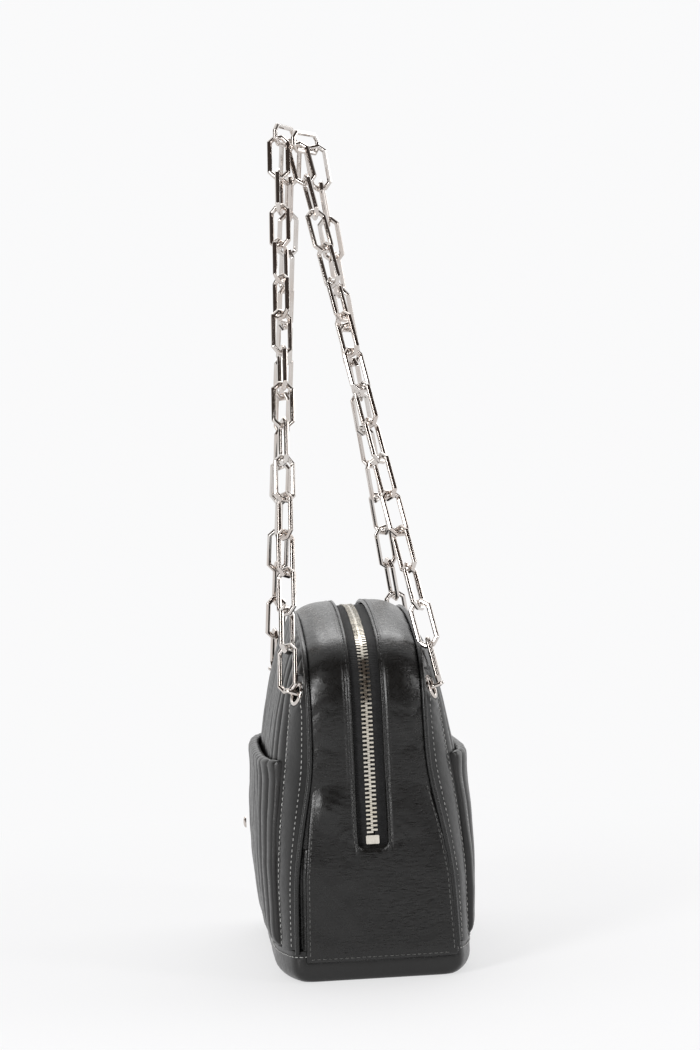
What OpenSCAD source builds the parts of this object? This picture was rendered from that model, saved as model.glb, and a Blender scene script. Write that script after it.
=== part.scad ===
// Chain shoulder bag: quilted leather body, metal zip over the top and down both ends,
// front and back pockets, and two link-chain handles that pass through four eyelets.
// Origin: centre of the flat underside. X runs along the bag, -Y is the front, +Z is up.
// Lengths are in millimetres. Soft pieces are thin shells with the true outer shape.

/* [Body] */
// Half length of the bag at the seam between border band and end gusset
seam_half_len = 127; // [120:1:135]
// Height of that seam at the middle of the top
seam_top_z = 206; // [200:1:212]
// Radius of the seam's upper corners
seam_corner_r = 38; // [32:1:44]
// Half length of the bag at the zip line
zip_half_len = 130; // [128:1:138]
// Height of the zip line at the middle of the top
zip_top_z = 214; // [210:1:220]
// Radius of the zip line's upper corners
zip_corner_r = 42; // [36:1:48]
// Height of the seam between the base panel and the walls
base_seam_z = 18; // [14:1:22]
// Thickness of the quilted front and back panels
panel_t = 3.6; // [3:0.2:5]
// Thickness of the plain leather bands, strips and gussets
band_t = 2.6; // [2:0.2:3.2]
// Width of the plain side bands beside the quilted panel
border_w = 20; // [16:1:24]
// Height of the top of the side bands, just above the eyelets
band_top_z = 176; // [175:1:180]

/* [Pockets] */
// Height of the pocket mouths above the floor
pocket_top_z = 124; // [110:1:130]
// Height of the lower edge of the pockets
pocket_low_z = 20; // [19:1:24]
// How far the middle of a pocket mouth gapes beyond its sewn edges
pocket_gape = 8.5; // [6:0.5:10]
// Wall thickness of a pocket
pocket_t = 3; // [2.4:0.1:3.2]

/* [Zip] */
// Distance from one tooth to the next along one tape
tooth_pitch = 2.5; // [2.4:0.05:2.7]
// Thickness of a tooth along the tape
tooth_t = 1.1; // [0.9:0.05:1.15]
// Half width of the opening between the leather strips
strip_gap = 8.4; // [8:0.2:10]
// Height of the lowest tooth at the photographed end
teeth_low_z = 84; // [82:1:92]

/* [Eyelets] */
// Distance of the eyelets from the middle of the bag
eyelet_x = 115; // [112:1:118]
// Height of the eyelets
eyelet_z = 165; // [160:1:168]
// Radius of the eyelet holes
eyelet_r = 6.2; // [6.1:0.1:6.4]

/* [Chain] */
// Outside length of a link
link_len = 30.8; // [30.6:0.1:31]
// Outside width of a link
link_w = 15.6; // [15:0.2:16]
// Thickness of the link's bar, which is square with cut edges
bar = 3.5; // [3.3:0.1:3.6]
// Cut across each corner of the link
link_cut = 4.5; // [4:0.25:5]
// Depth of the front handle's top link, behind the bag's middle plane if positive
front_top_y = -28.5; // [-40:0.5:-28.5]
// Depth of the back handle's top link
back_top_y = -11.5; // [-11.5:0.5:10]

/* [Hidden] */
LINKS = 15; // links in one strand, the shared top link not counted
GROUP = 5; // links in each rigid third of a strand
ENDS = ["near", "far"];

LEATHER = [0.17, 0.17, 0.16];
LEATHER_DARK = [0.11, 0.11, 0.11];
CLOTH = [0.2, 0.2, 0.21];
BOARD = [0.35, 0.3, 0.24];
NICKEL = [0.78, 0.77, 0.74];
CHAMPAGNE = [0.8, 0.77, 0.69];

// ---------- outline of the bag in the XZ plane ----------

TURN = 72; // angle through which an upper corner turns before the long top arc takes over

// One profile is [half length, top height, corner radius]
SEAM = [seam_half_len, seam_top_z, seam_corner_r];
ZIP = [zip_half_len, zip_top_z, zip_corner_r];

function corner_x(p) = p[0] - p[2];
function top_r(p) = corner_x(p) / cos(TURN) + p[2];
function corner_z(p) = p[1] - top_r(p) + (top_r(p) - p[2]) * sin(TURN);
function top_centre_z(p) = p[1] - top_r(p);
function inset(p, d) = [p[0] - d, p[1] - d, p[2] - d];

function arc(cx, cz, r, from, to, n) =
    [for (i = [0 : n]) let (a = from + (to - from) * i / n) [cx + r * cos(a), cz + r * sin(a)]];

// From low_z up one end, over the top and down the other end
SIDE_STEPS = 8;
CORNER_STEPS = 5;
TOP_STEPS = 9;
function arch(p, low_z, fine = 1) = concat(
    [for (i = [0 : SIDE_STEPS - 1]) [p[0], low_z + (corner_z(p) - low_z) * i / SIDE_STEPS]],
    arc(corner_x(p), corner_z(p), p[2], 0, TURN, CORNER_STEPS * fine),
    [for (i = [1 : TOP_STEPS * fine - 1])
        let (a = TURN + (180 - 2 * TURN) * i / (TOP_STEPS * fine))
        [top_r(p) * cos(a), top_centre_z(p) + top_r(p) * sin(a)]],
    arc(-corner_x(p), corner_z(p), p[2], 180 - TURN, 180, CORNER_STEPS * fine),
    [for (i = [SIDE_STEPS - 1 : -1 : 0]) [-p[0], low_z + (corner_z(p) - low_z) * i / SIDE_STEPS]]
);

// Half length of the seam outline at a height
function half_len_at(z) =
    let (dz = z - corner_z(SEAM))
    dz <= 0 ? SEAM[0]
    : dz < SEAM[2] * sin(TURN) ? corner_x(SEAM) + sqrt(SEAM[2] * SEAM[2] - dz * dz)
    : sqrt(max(0, pow(top_r(SEAM), 2) - pow(z - top_centre_z(SEAM), 2)));

// ---------- depth of the bag ----------

// Half depth at the gusset seam, by height: pinched in above, full at the base
SEAM_DEPTH = [[0, 47.8], [18, 47.8], [60, 46.5], [88, 41.5], [120, 33], [150, 32], [214, 32.5]];
// Half depth at the middle of the bag, by height
CROWN_DEPTH = [[0, 57], [18, 58], [60, 60.5], [120, 59], [155, 55.5], [178, 47.5], [195, 39], [206, 33]];
CROWN_REACH = 70; // how far from the end seams the walls take to reach their full depth
CROWN_POWER = 3.1;

function crown(edge) = 1 - pow(max(0, 1 - edge / CROWN_REACH), CROWN_POWER);
function wall_y(x, z) =
    let (g = lookup(z, SEAM_DEPTH))
    g + (lookup(z, CROWN_DEPTH) - g) * crown(max(0, half_len_at(z) - abs(x)));

// ---------- shells from rings of points ----------

// Solid through a list of rings that all have the same number of points. It is capped at the first
// and last ring, or closed end to end when loop is true.
module skin(rings, loop = false) {
    n = len(rings[0]);
    m = len(rings);
    function at(i, j) = (i % m) * n + (j % n);
    sides = [for (i = [0 : loop ? m - 1 : m - 2], j = [0 : n - 1], half = [0, 1])
        half == 0 ? [at(i, j), at(i, j + 1), at(i + 1, j + 1)] : [at(i, j), at(i + 1, j + 1), at(i + 1, j)]];
    caps = loop ? [] : [[for (j = [n - 1 : -1 : 0]) at(0, j)], [for (j = [0 : n - 1]) at(m - 1, j)]];
    polyhedron([for (r = rings) each r], concat(sides, caps), 10);
}

module front_or_back(back) {
    mirror([0, back ? 1 : 0, 0]) children();
}

module near_or_far(far) {
    mirror([far ? 1 : 0, 0, 0]) children();
}

// ---------- front and back walls ----------

// Heights of the rows of points in a wall, from the base seam up
WALL_ROWS = [base_seam_z, 36, 54, 72, 90, 108, 126, 144, 160, band_top_z];
TOP_ROWS = [band_top_z + 0.2, 185, 192, 198, 202.5, 205, seam_top_z - 0.2];

// One row of a wall between two x positions at height z: outer face out, inner face back
function wall_row(x0, x1, z, t, columns) = concat(
    [for (i = [columns : -1 : 0]) let (x = x0 + (x1 - x0) * i / columns) [x, -wall_y(x, z), z]],
    [for (i = [0 : columns]) let (x = x0 + (x1 - x0) * i / columns) [x, -wall_y(x, z) + t, z]]
);

// Quilted panel: between the side bands below, and out to the seam above them
PANEL_COLUMNS = 10;
module quilted_panel(back) {
    half = seam_half_len - border_w;
    color(LEATHER)
    front_or_back(back)
    skin(concat(
        [for (z = WALL_ROWS) wall_row(-half, half, z, panel_t, PANEL_COLUMNS)],
        [for (z = TOP_ROWS) let (w = half_len_at(z)) wall_row(-w, w, z, band_t, PANEL_COLUMNS)]
    ));
}

module front_panel() { quilted_panel(false); }
module back_panel() { quilted_panel(true); }

// Plain bands at both ends of the wall, up to just above the eyelets
BAND_COLUMNS = 3;
SEAT_DEPTH = 0.4; // how far the leather is pressed in under the eyelet's flange
module side_band() {
    difference() {
        skin([for (z = WALL_ROWS)
            wall_row(seam_half_len - border_w + 0.1, half_len_at(z), z, band_t, BAND_COLUMNS)]);
        at_eyelet() {
            translate([0, 0, -SEAT_DEPTH]) cylinder(r = FLANGE_R + 0.6, h = 6, $fn = 32);
            translate([0, 0, -6 - SEAT_DEPTH - BAND_PRESSED]) cylinder(r = FLANGE_R + 0.6, h = 6, $fn = 32);
            translate([0, 0, -10]) cylinder(r = BARREL_R + 0.05, h = 20, $fn = 32);
        }
    }
}

module border(back) {
    color(LEATHER)
    front_or_back(back)
    for (far = [false, true]) near_or_far(far) side_band();
}

module front_border() { border(false); }
module back_border() { border(true); }

// Cord sewn into the seam between the border band and the gusset
PIPING_R = 1.15;
PIPING_SIDES = 4;
module piping(back) {
    path = arch(inset(SEAM, -2.3), base_seam_z + 1);
    n = len(path);
    color(LEATHER_DARK)
    front_or_back(back)
    skin([for (i = [0 : n - 1])
        let (
            step = path[min(i + 1, n - 1)] - path[max(i - 1, 0)],
            out = [step[1], -step[0]] / norm(step),
            depth = lookup(path[i][1], SEAM_DEPTH) - 1.7
        )
        [for (j = [0 : PIPING_SIDES - 1])
            let (a = -360 * j / PIPING_SIDES)
            [path[i][0] + out[0] * PIPING_R * cos(a), -depth + PIPING_R * sin(a),
                path[i][1] + out[1] * PIPING_R * cos(a)]]
    ]);
}

module front_piping() { piping(false); }
module back_piping() { piping(true); }

// ---------- pockets ----------

POCKET_HALF = seam_half_len - border_w - 3;
POCKET_LIFT = 2.6; // the sewn edge stands this proud of the wall
POCKET_COLUMNS = 14;
POCKET_ROWS = 6;

function pocket_lift(x, z) =
    POCKET_LIFT + pocket_gape * (1 - pow(abs(x) / POCKET_HALF, 3))
    * pow(max(0, z - pocket_low_z) / (pocket_top_z - pocket_low_z), 0.6);

function pocket_point(u, v, inner) =
    let (
        x = POCKET_HALF * u,
        z = pocket_low_z + (pocket_top_z - pocket_low_z) * v,
        lift = pocket_lift(x, z)
    )
    [x, -(wall_y(x, z) + (inner ? max(0.3, lift - pocket_t) : lift)), z];

// The outside and then the inside of the pocket wall, wound into one closed band of rings
module pocket(back) {
    color(LEATHER)
    front_or_back(back)
    skin([for (i = [0 : POCKET_COLUMNS])
        let (u = 1 - 2 * i / POCKET_COLUMNS)
        concat(
            [for (j = [POCKET_ROWS : -1 : 0]) pocket_point(u, j / POCKET_ROWS, false)],
            [for (j = [0 : POCKET_ROWS]) pocket_point(u, j / POCKET_ROWS, true)]
        )
    ]);
}

module front_pocket() { pocket(false); }
module back_pocket() { pocket(true); }

STUD_Z = 80;
module pocket_stud() {
    color(NICKEL)
    translate([0, -wall_y(0, STUD_Z) - pocket_lift(0, STUD_Z) - 0.1, STUD_Z])
    rotate([90, 0, 0])
    rotate_extrude($fn = 48)
    polygon([[0, 0], [3.6, 0], [3.6, 0.6], [3, 1.2], [1.6, 1.7], [0, 1.8]]);
}

// ---------- base ----------

BASE_COLUMNS = 12;
BASE_T = 3;
BASE_EDGE_R = 7; // rounding along the front and back
BASE_END_IN = 4; // rounding at the ends

// One closed ring of the base at height z: x and y drawn in by the rounding
function base_ring(z, drop, thick) =
    let (
        share = 1 - sqrt(max(0, 1 - pow(1 - min(z, 9) / 9, 2))),
        half = seam_half_len + 1 - BASE_END_IN * share - thick,
        side = [for (i = [0 : BASE_COLUMNS])
            let (x = half * (-1 + 2 * i / BASE_COLUMNS))
            [x, wall_y(x * (seam_half_len / half), base_seam_z) - BASE_EDGE_R * share - thick, z + drop]]
    )
    concat([for (q = side) [q[0], -q[1], q[2]]], [for (i = [BASE_COLUMNS : -1 : 0]) side[i]]);

module base_panel() {
    color(LEATHER)
    skin(concat(
        [for (z = [BASE_T, 9, base_seam_z - 0.3]) base_ring(z, 0, BASE_T)],
        [for (z = [base_seam_z - 0.3, 11, 6, 2.5, 0.6, 0]) base_ring(z, 0, 0)]
    ));
}

module base_board() {
    color(BOARD)
    translate([0, 0, BASE_T + 0.1])
    linear_extrude(2.2)
    offset(r = 12, $fn = 32) square([196, 46], center = true);
}

// ---------- lining ----------

// [height, half length, half depth]
LINING_STAGES = [
    [6.5, 104, 34], [10, 114, 40], [60, 119, 41], [120, 118, 33], [146, 114, 25], [170, 104, 17]
];
LINING_T = 0.8;
LINING_POINTS = 24;
LINING_SQUARE = 5; // squareness of the plan: 2 would be an ellipse

function lining_ring(stage, t) = [for (i = [0 : LINING_POINTS - 1])
    let (a = 360 * i / LINING_POINTS, k = 2 / LINING_SQUARE)
    [(stage[1] - t) * sign(cos(a)) * pow(abs(cos(a)), k),
     (stage[2] - t) * sign(sin(a)) * pow(abs(sin(a)), k), stage[0] + (t > 0 && stage[0] < 8 ? t : 0)]];

module lining() {
    last = len(LINING_STAGES) - 1;
    color(CLOTH)
    skin(concat(
        [for (s = LINING_STAGES) lining_ring(s, LINING_T)],
        [for (i = [last : -1 : 0]) lining_ring(LINING_STAGES[i], 0)]
    ));
}

// ---------- gussets ----------

STRIP_LOW_Z = 77; // where the leather strips beside the zip end
GUSSET_GAP = 3.8; // the gusset stops this short of the border's face, to leave room for the piping
PATCH_T = 1.4;
PATCH_LOW_Z = 19;
PATCH_TOP_Z = 118;

function gusset_half(z) = lookup(z, SEAM_DEPTH) - GUSSET_GAP;

// Extrudes a [y, z] outline along X, from x to x + t
module end_plate(x, t) {
    translate([x, 0, 0]) rotate([90, 0, 90]) linear_extrude(t) children();
}

module gusset() {
    heights = [18.5, 40, 60, STRIP_LOW_Z - 0.2];
    end_plate(zip_half_len - band_t, band_t)
    polygon(concat(
        [for (z = heights) [gusset_half(z), z]],
        [for (i = [len(heights) - 1 : -1 : 0]) [-gusset_half(heights[i]), heights[i]]]
    ));
}

module near_gusset() { color(LEATHER_DARK) gusset(); }
module far_gusset() { color(LEATHER_DARK) near_or_far(true) gusset(); }

// Overlay on the lower gusset, cut out around the end of the zip
module gusset_patch() {
    heights = [PATCH_LOW_Z, 45, 70, 90, PATCH_TOP_Z];
    mouth = [[12.5, PATCH_TOP_Z - 2], [12.5, 76], [9, 71], [-9, 71], [-12.5, 76], [-12.5, PATCH_TOP_Z - 2]];
    end_plate(zip_half_len + 0.1, PATCH_T)
    polygon(concat(
        [for (z = heights) [gusset_half(z) - 1, z]], mouth,
        [for (i = [len(heights) - 1 : -1 : 0]) [-gusset_half(heights[i]) + 1, heights[i]]]
    ));
}

module near_gusset_patch() { color(LEATHER_DARK) gusset_patch(); }
module far_gusset_patch() { color(LEATHER_DARK) near_or_far(true) gusset_patch(); }

// ---------- leather strips beside the zip ----------

STRIP_COLUMNS = 3;

// Points across the strip, level beside the zip and dipping to the edge
function strip_side(mid, edge, far_y, columns) =
    [for (j = columns) let (u = j / STRIP_COLUMNS, q = mid + (edge - mid) * u * u * u)
        [q[0], -strip_gap - (far_y - strip_gap) * u, q[1]]];

module zip_strip() {
    line = arch(ZIP, STRIP_LOW_Z);
    edge = arch(inset(SEAM, -1.6), STRIP_LOW_Z);
    line_in = arch(inset(ZIP, band_t), STRIP_LOW_Z);
    edge_in = arch(inset(SEAM, -1.6 + band_t), STRIP_LOW_Z);
    skin([for (i = [0 : len(line) - 1])
        let (far_y = gusset_half(edge[i][1]))
        concat(
            strip_side(line[i], edge[i], far_y, [0 : STRIP_COLUMNS]),
            strip_side(line_in[i], edge_in[i], far_y, [STRIP_COLUMNS : -1 : 0])
        )
    ]);
}

module zip_strip_front() { color(LEATHER) zip_strip(); }
module zip_strip_back() { color(LEATHER) front_or_back(true) zip_strip(); }

// ---------- zip ----------

TAPE_IN = 3; // depth of the tape's outer face below the zip line
TAPE_T = 1;
TAPE_LOW_Z = 68;
TAPE_EDGE = 1.7; // distance of the tape's toothed edge from the zip's middle
TAPE_HALF = 12.5;
TAPE_LINE = inset(ZIP, TAPE_IN + TAPE_T / 2);

module zip_tape() {
    translate([0, -TAPE_EDGE, 0])
    rotate([90, 0, 0])
    linear_extrude(TAPE_HALF - TAPE_EDGE)
    let (
        outer = arch(inset(ZIP, TAPE_IN), TAPE_LOW_Z, 6),
        inner = arch(inset(ZIP, TAPE_IN + TAPE_T), TAPE_LOW_Z, 6)
    )
    polygon(concat(outer, [for (i = [len(inner) - 1 : -1 : 0]) inner[i]]));
}

module zip_tape_front() { color(LEATHER_DARK) zip_tape(); }
module zip_tape_back() { color(LEATHER_DARK) front_or_back(true) zip_tape(); }

STRAIGHT = corner_z(TAPE_LINE) - teeth_low_z;
CORNER_RUN = TAPE_LINE[2] * TURN * PI / 180;
TOP_RUN = top_r(TAPE_LINE) * (180 - 2 * TURN) * PI / 180;
TEETH_RUN = 2 * STRAIGHT + 2 * CORNER_RUN + TOP_RUN;

// [x, z, outward direction in degrees] at a distance along the zip from its lowest tooth
function zip_at(s) =
    s < STRAIGHT ? [TAPE_LINE[0], teeth_low_z + s, 0]
    : s < STRAIGHT + CORNER_RUN ? let (a = (s - STRAIGHT) / CORNER_RUN * TURN)
        [corner_x(TAPE_LINE) + TAPE_LINE[2] * cos(a), corner_z(TAPE_LINE) + TAPE_LINE[2] * sin(a), a]
    : s < TEETH_RUN / 2 ? let (a = TURN + (s - STRAIGHT - CORNER_RUN) / TOP_RUN * (180 - 2 * TURN))
        [top_r(TAPE_LINE) * cos(a), top_centre_z(TAPE_LINE) + top_r(TAPE_LINE) * sin(a), a]
    : let (q = zip_at(TEETH_RUN - s)) [-q[0], q[1], 180 - q[2]];

// One tooth: a nose that meshes past the middle, and two jaws that grip the tape's edge
TOOTH = [[-0.95, -0.55], [-0.6, -0.9], [1.4, -1], [3.1, -1.2], [3.2, -0.9], [3.2, -0.53], [1.65, -0.53],
    [1.65, 0.53], [3.2, 0.53], [3.2, 0.9], [3.1, 1.2], [1.4, 1], [-0.6, 0.9], [-0.95, 0.55]];

// Teeth from one distance along the zip to another, on the front tape. Z of a tooth points outward.
module teeth_row(from, to, phase) {
    for (k = [ceil(from / tooth_pitch) : ceil(to / tooth_pitch) - 1])
        let (q = zip_at((k + phase) * tooth_pitch))
        translate([q[0], 0, q[1]])
        rotate([0, 90 - q[2], 0])
        tooth_outward();
}

// The tooth with its thickness along local X and its height along local Z
module tooth_outward() {
    rotate([90, 0, 90])
    translate([0, 0, -tooth_t / 2])
    linear_extrude(tooth_t)
    polygon([for (q = TOOTH) [-q[0], q[1]]]);
}

END_RUN = TEETH_RUN - STRAIGHT - 1.2; // the last straight stretch, which the slider travels

module zip_teeth_front() { color(CHAMPAGNE) teeth_row(0, END_RUN, 0.25); }
module zip_teeth_back() { color(CHAMPAGNE) front_or_back(true) teeth_row(0, END_RUN, 0.75); }
module zip_teeth_front_end() { color(CHAMPAGNE) teeth_row(END_RUN, TEETH_RUN - 4.8, 0.25); }
module zip_teeth_back_end() {
    color(CHAMPAGNE) front_or_back(true) teeth_row(END_RUN, TEETH_RUN - 4.8, 0.75);
}

STOP_H = 5;
module zip_bottom_stop() {
    color(CHAMPAGNE)
    translate([TAPE_LINE[0], 0, teeth_low_z - 1.2 - STOP_H / 2])
    difference() {
        rotate([0, 90, 0])
        linear_extrude(2.8, center = true)
        offset(r = 0.7, $fn = 24) square([STOP_H - 1.4, 6.2], center = true);
        for (side = [-1, 1])
            translate([0, side * (TAPE_EDGE + 3.95), 0]) cube([TAPE_T + 0.04, 8, STOP_H + 1], center = true);
    }
}

SLIDER_Z = teeth_low_z + 3.5; // height of the slider's middle when the zip is closed
SLIDER_LEN = 11;
SLIDER_W = 9.4;
PLATE_T = 1.3;
CHANNEL = 1.55; // from the tape's middle to the slider's plates

module zip_top_stops() {
    color(CHAMPAGNE)
    for (side = [-1, 1])
        translate([-TAPE_LINE[0], side * 3.1, SLIDER_Z - SLIDER_LEN / 2 - 2])
        difference() {
            rotate([0, 90, 0])
            linear_extrude(2.6, center = true)
            offset(r = 0.5, $fn = 24) square([2, 2], center = true);
            translate([0, side * (TAPE_EDGE - 3.15 + 2), 0]) cube([TAPE_T + 0.04, 4, 4], center = true);
        }
}

// Slider: two plates on a wedge, with rims that steer the teeth, and an arch that holds the pull
PIVOT_X = -zip_half_len - 3.2;
PIVOT_Z = SLIDER_Z + 1;
PIN_R = 0.8;
ARCH_HOLE = 0.95;

module slider_plate() {
    rotate([0, 90, 0])
    linear_extrude(PLATE_T, center = true)
    hull() {
        translate([SLIDER_LEN / 2 - 2, 0]) square([4, SLIDER_W], center = true);
        translate([-SLIDER_LEN / 2 + 1.5, 0]) square([3, SLIDER_W - 2], center = true);
    }
}

module slider_rim(side) {
    translate([0, side * (SLIDER_W / 2 - 0.5), -1])
    cube([0.7, 0.9, SLIDER_LEN - 3], center = true);
}

module zip_slider() {
    reach = -PIVOT_X - TAPE_LINE[0];
    color(CHAMPAGNE)
    translate([-TAPE_LINE[0], 0, SLIDER_Z]) {
        for (out = [-1, 1]) {
            translate([out * (CHANNEL + PLATE_T / 2), 0, 0]) slider_plate();
            for (side = [-1, 1]) translate([out * (CHANNEL - 0.3), 0, 0]) slider_rim(side);
        }
        translate([0, 0, -SLIDER_LEN / 2 + 2.2])
        rotate([0, 90, 0])
        linear_extrude(2 * CHANNEL + 0.4, center = true)
        polygon([[2.2, 0.5], [0.4, 1.3], [-1.8, 0.3], [-1.8, -0.3], [0.4, -1.3], [2.2, -0.5]]);
        translate([0, 1.1, 1])
        rotate([90, 0, 0])
        linear_extrude(2.2)
        difference() {
            union() {
                translate([-reach, 0]) circle(r = ARCH_HOLE + 0.9, $fn = 40);
                translate([-reach, -ARCH_HOLE - 0.9]) square([reach - CHANNEL - 0.5, 2 * (ARCH_HOLE + 0.9)]);
            }
            translate([-reach, 0]) circle(r = ARCH_HOLE, $fn = 40);
        }
    }
}

PULL_LEN = 27;
module zip_pull() {
    color(CHAMPAGNE)
    translate([PIVOT_X, 0, PIVOT_Z]) {
        rotate([90, 0, 0]) cylinder(r = PIN_R, h = 5.6, center = true, $fn = 40);
        for (side = [-1, 1])
            translate([0, side * 2.1, 0])
            rotate([90, 0, 0])
            linear_extrude(1.4, center = true)
            union() {
                circle(r = PIN_R + 0.1, $fn = 40);
                translate([-0.75, -5]) square([1.5, 5]);
            }
        translate([0.75, 0, 0])
        rotate([0, -90, 0])
        linear_extrude(1.5)
        difference() {
            union() {
                translate([-5.2, 0]) square([2, 5.6], center = true);
                hull() {
                    translate([-6.5, 0]) circle(r = 2.4, $fn = 40);
                    translate([-PULL_LEN + 3.6, 0]) circle(r = 3.6, $fn = 40);
                }
            }
            translate([-PULL_LEN + 4.4, 0]) circle(r = 1.5, $fn = 40);
        }
    }
}

// ---------- eyelets and what holds the chains inside ----------

EYELET_TURN = 31; // how far the wall has turned towards the end of the bag here
EYELET_TIP = 4; // how far it leans back
FLANGE_R = 8.8;
BARREL_R = eyelet_r + 0.7;
BAND_PRESSED = 1.8; // leather left between the flange and the washer
WASHER_T = 0.8;

EYELET = [eyelet_x, -wall_y(eyelet_x, eyelet_z), eyelet_z];

// Local Z is the eyelet's axis, pointing out of the bag
module at_eyelet() {
    translate(EYELET) rotate([0, 0, EYELET_TURN]) rotate([90 - EYELET_TIP, 0, 0]) children();
}

module at_corner(back, far) {
    front_or_back(back) near_or_far(far) children();
}

module eyelet() {
    inner_end = -SEAT_DEPTH - BAND_PRESSED - WASHER_T - 0.15;
    color(NICKEL)
    at_eyelet()
    rotate_extrude($fn = 64)
    polygon([
        [eyelet_r, inner_end], [BARREL_R, inner_end], [BARREL_R, -SEAT_DEPTH], [FLANGE_R, -SEAT_DEPTH],
        [FLANGE_R, 0.1], [FLANGE_R - 0.5, 0.8], [FLANGE_R - 1.4, 1.2],
        [BARREL_R, 1.2], [eyelet_r + 0.1, 0.7], [eyelet_r, 0]
    ]);
}

module eyelet_front_near() { at_corner(false, false) eyelet(); }
module eyelet_front_far() { at_corner(false, true) eyelet(); }
module eyelet_back_near() { at_corner(true, false) eyelet(); }
module eyelet_back_far() { at_corner(true, true) eyelet(); }

module eyelet_washers() {
    color(NICKEL)
    for (back = [false, true], far = [false, true])
        at_corner(back, far)
        at_eyelet()
        translate([0, 0, -SEAT_DEPTH - BAND_PRESSED - WASHER_T])
        difference() {
            cylinder(r = FLANGE_R - 1.5, h = WASHER_T, $fn = 64);
            translate([0, 0, -1]) cylinder(r = BARREL_R + 0.03, h = 3, $fn = 64);
        }
}

RING_LEN = 25;
RING_WIRE = 2.4;
RING_GAP = 5.2;
RING_TURN = 0; // the ring's plane, turned from square across the bag
RING_RISE = 8; // how far its outer end lifts
RING_IN = 0.5; // how far its middle lies behind the eyelet's face

// Local X runs out of the bag along the ring, local Z is up
module at_ring() {
    translate(EYELET) rotate([0, 0, RING_TURN - 90]) rotate([0, -RING_RISE, 0]) children();
}

module anchor_ring() {
    bend = RING_GAP / 2 + RING_WIRE / 2;
    straight = RING_LEN / 2 - bend - RING_WIRE / 2;
    color(NICKEL)
    at_ring()
    translate([-RING_IN, 0, 0])
    rotate([90, 0, 0]) {
        for (end = [0, 180])
            rotate([0, 0, end])
            translate([straight, 0, 0])
            rotate([0, 0, -90])
            rotate_extrude(angle = 180, $fn = 48) translate([bend, 0]) circle(r = RING_WIRE / 2, $fn = 24);
        for (side = [-1, 1])
            translate([0, side * bend, 0])
            rotate([0, 90, 0]) cylinder(r = RING_WIRE / 2, h = 2 * straight, center = true, $fn = 24);
    }
}

module anchor_ring_front_near() { at_corner(false, false) anchor_ring(); }
module anchor_ring_front_far() { at_corner(false, true) anchor_ring(); }
module anchor_ring_back_near() { at_corner(true, false) anchor_ring(); }
module anchor_ring_back_far() { at_corner(true, true) anchor_ring(); }

// D-ring inside the bag, whose bow passes through the inner end of the anchor ring
D_WIRE = 1.2;
D_BOW = 6.5;
D_DROP = 4.5;
D_PLACE = -RING_IN - RING_LEN / 2 + RING_WIRE + D_WIRE + 0.3;

module at_d_ring() {
    at_ring() translate([D_PLACE, 0, -D_BOW]) rotate([0, RING_RISE, 0]) children();
}

module d_ring() {
    rotate([90, 0, 90]) {
        rotate_extrude(angle = 180, $fn = 48) translate([D_BOW, 0]) circle(r = D_WIRE, $fn = 24);
        for (side = [-1, 1])
            translate([side * D_BOW, -D_DROP, 0])
            rotate([-90, 0, 0]) cylinder(r = D_WIRE, h = D_DROP, $fn = 24);
        translate([0, -D_DROP, 0])
        rotate([0, 90, 0]) cylinder(r = D_WIRE, h = 2 * (D_BOW + D_WIRE), center = true, $fn = 24);
    }
}

module anchor_d_rings() {
    color(NICKEL)
    for (back = [false, true], far = [false, true]) at_corner(back, far) at_d_ring() d_ring();
}

// Leather tab folded over the D-ring's straight bar and sewn to the wall below
TAB_W = 10;
TAB_LAYER = 1.5;
TAB_LEN = 34;
TAB_SLANT = 7;
module anchor_tab() {
    hole = D_WIRE + 0.15;
    color(LEATHER_DARK)
    at_d_ring()
    translate([0, 0, -D_DROP])
    rotate([90, 0, 0])
    rotate([0, 0, TAB_SLANT])
    linear_extrude(TAB_W, center = true)
    difference() {
        union() {
            circle(r = hole + TAB_LAYER, $fn = 40);
            translate([-hole - TAB_LAYER, -8]) square([2 * (hole + TAB_LAYER), 8]);
            translate([-TAB_LAYER, -TAB_LEN]) square([2 * TAB_LAYER, TAB_LEN]);
        }
        circle(r = hole, $fn = 40);
    }
}

module anchor_tab_front_near() { at_corner(false, false) anchor_tab(); }
module anchor_tab_front_far() { at_corner(false, true) anchor_tab(); }
module anchor_tab_back_near() { at_corner(true, false) anchor_tab(); }
module anchor_tab_back_far() { at_corner(true, true) anchor_tab(); }

// ---------- chain ----------

BAR_CUT = 1; // cut along the bar's four edges
BAR_SECTION = [for (s = [[1, 0], [0, 1], [-1, 0], [0, -1]], t = [-1, 1])
    let (h = bar / 2, c = h - BAR_CUT) [s[0] * h - s[1] * t * c, -s[1] * h - s[0] * t * c]];

// Octagon along the middle of the bar, in the link's own plane: X across, Z along
HALF_W = (link_w - bar) / 2;
HALF_L = (link_len - bar) / 2;
MID_CUT = link_cut - bar * (1 - sqrt(2) / 2);
LINK_PATH = [
    [HALF_W, HALF_L - MID_CUT], [HALF_W - MID_CUT, HALF_L],
    [MID_CUT - HALF_W, HALF_L], [-HALF_W, HALF_L - MID_CUT],
    [-HALF_W, MID_CUT - HALF_L], [MID_CUT - HALF_W, -HALF_L],
    [HALF_W - MID_CUT, -HALF_L], [HALF_W, MID_CUT - HALF_L]
];

module link() {
    n = len(LINK_PATH);
    skin([for (i = [0 : n - 1])
        let (
            before = LINK_PATH[i] - LINK_PATH[(i + n - 1) % n],
            after = LINK_PATH[(i + 1) % n] - LINK_PATH[i],
            n0 = [before[1], -before[0]] / norm(before),
            n1 = [after[1], -after[0]] / norm(after),
            mitre = (n0 + n1) / (1 + n0 * n1)
        )
        [for (q = BAR_SECTION) [LINK_PATH[i][0] + mitre[0] * q[0], q[1], LINK_PATH[i][1] + mitre[1] * q[0]]]
    ], loop = true);
}

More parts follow.
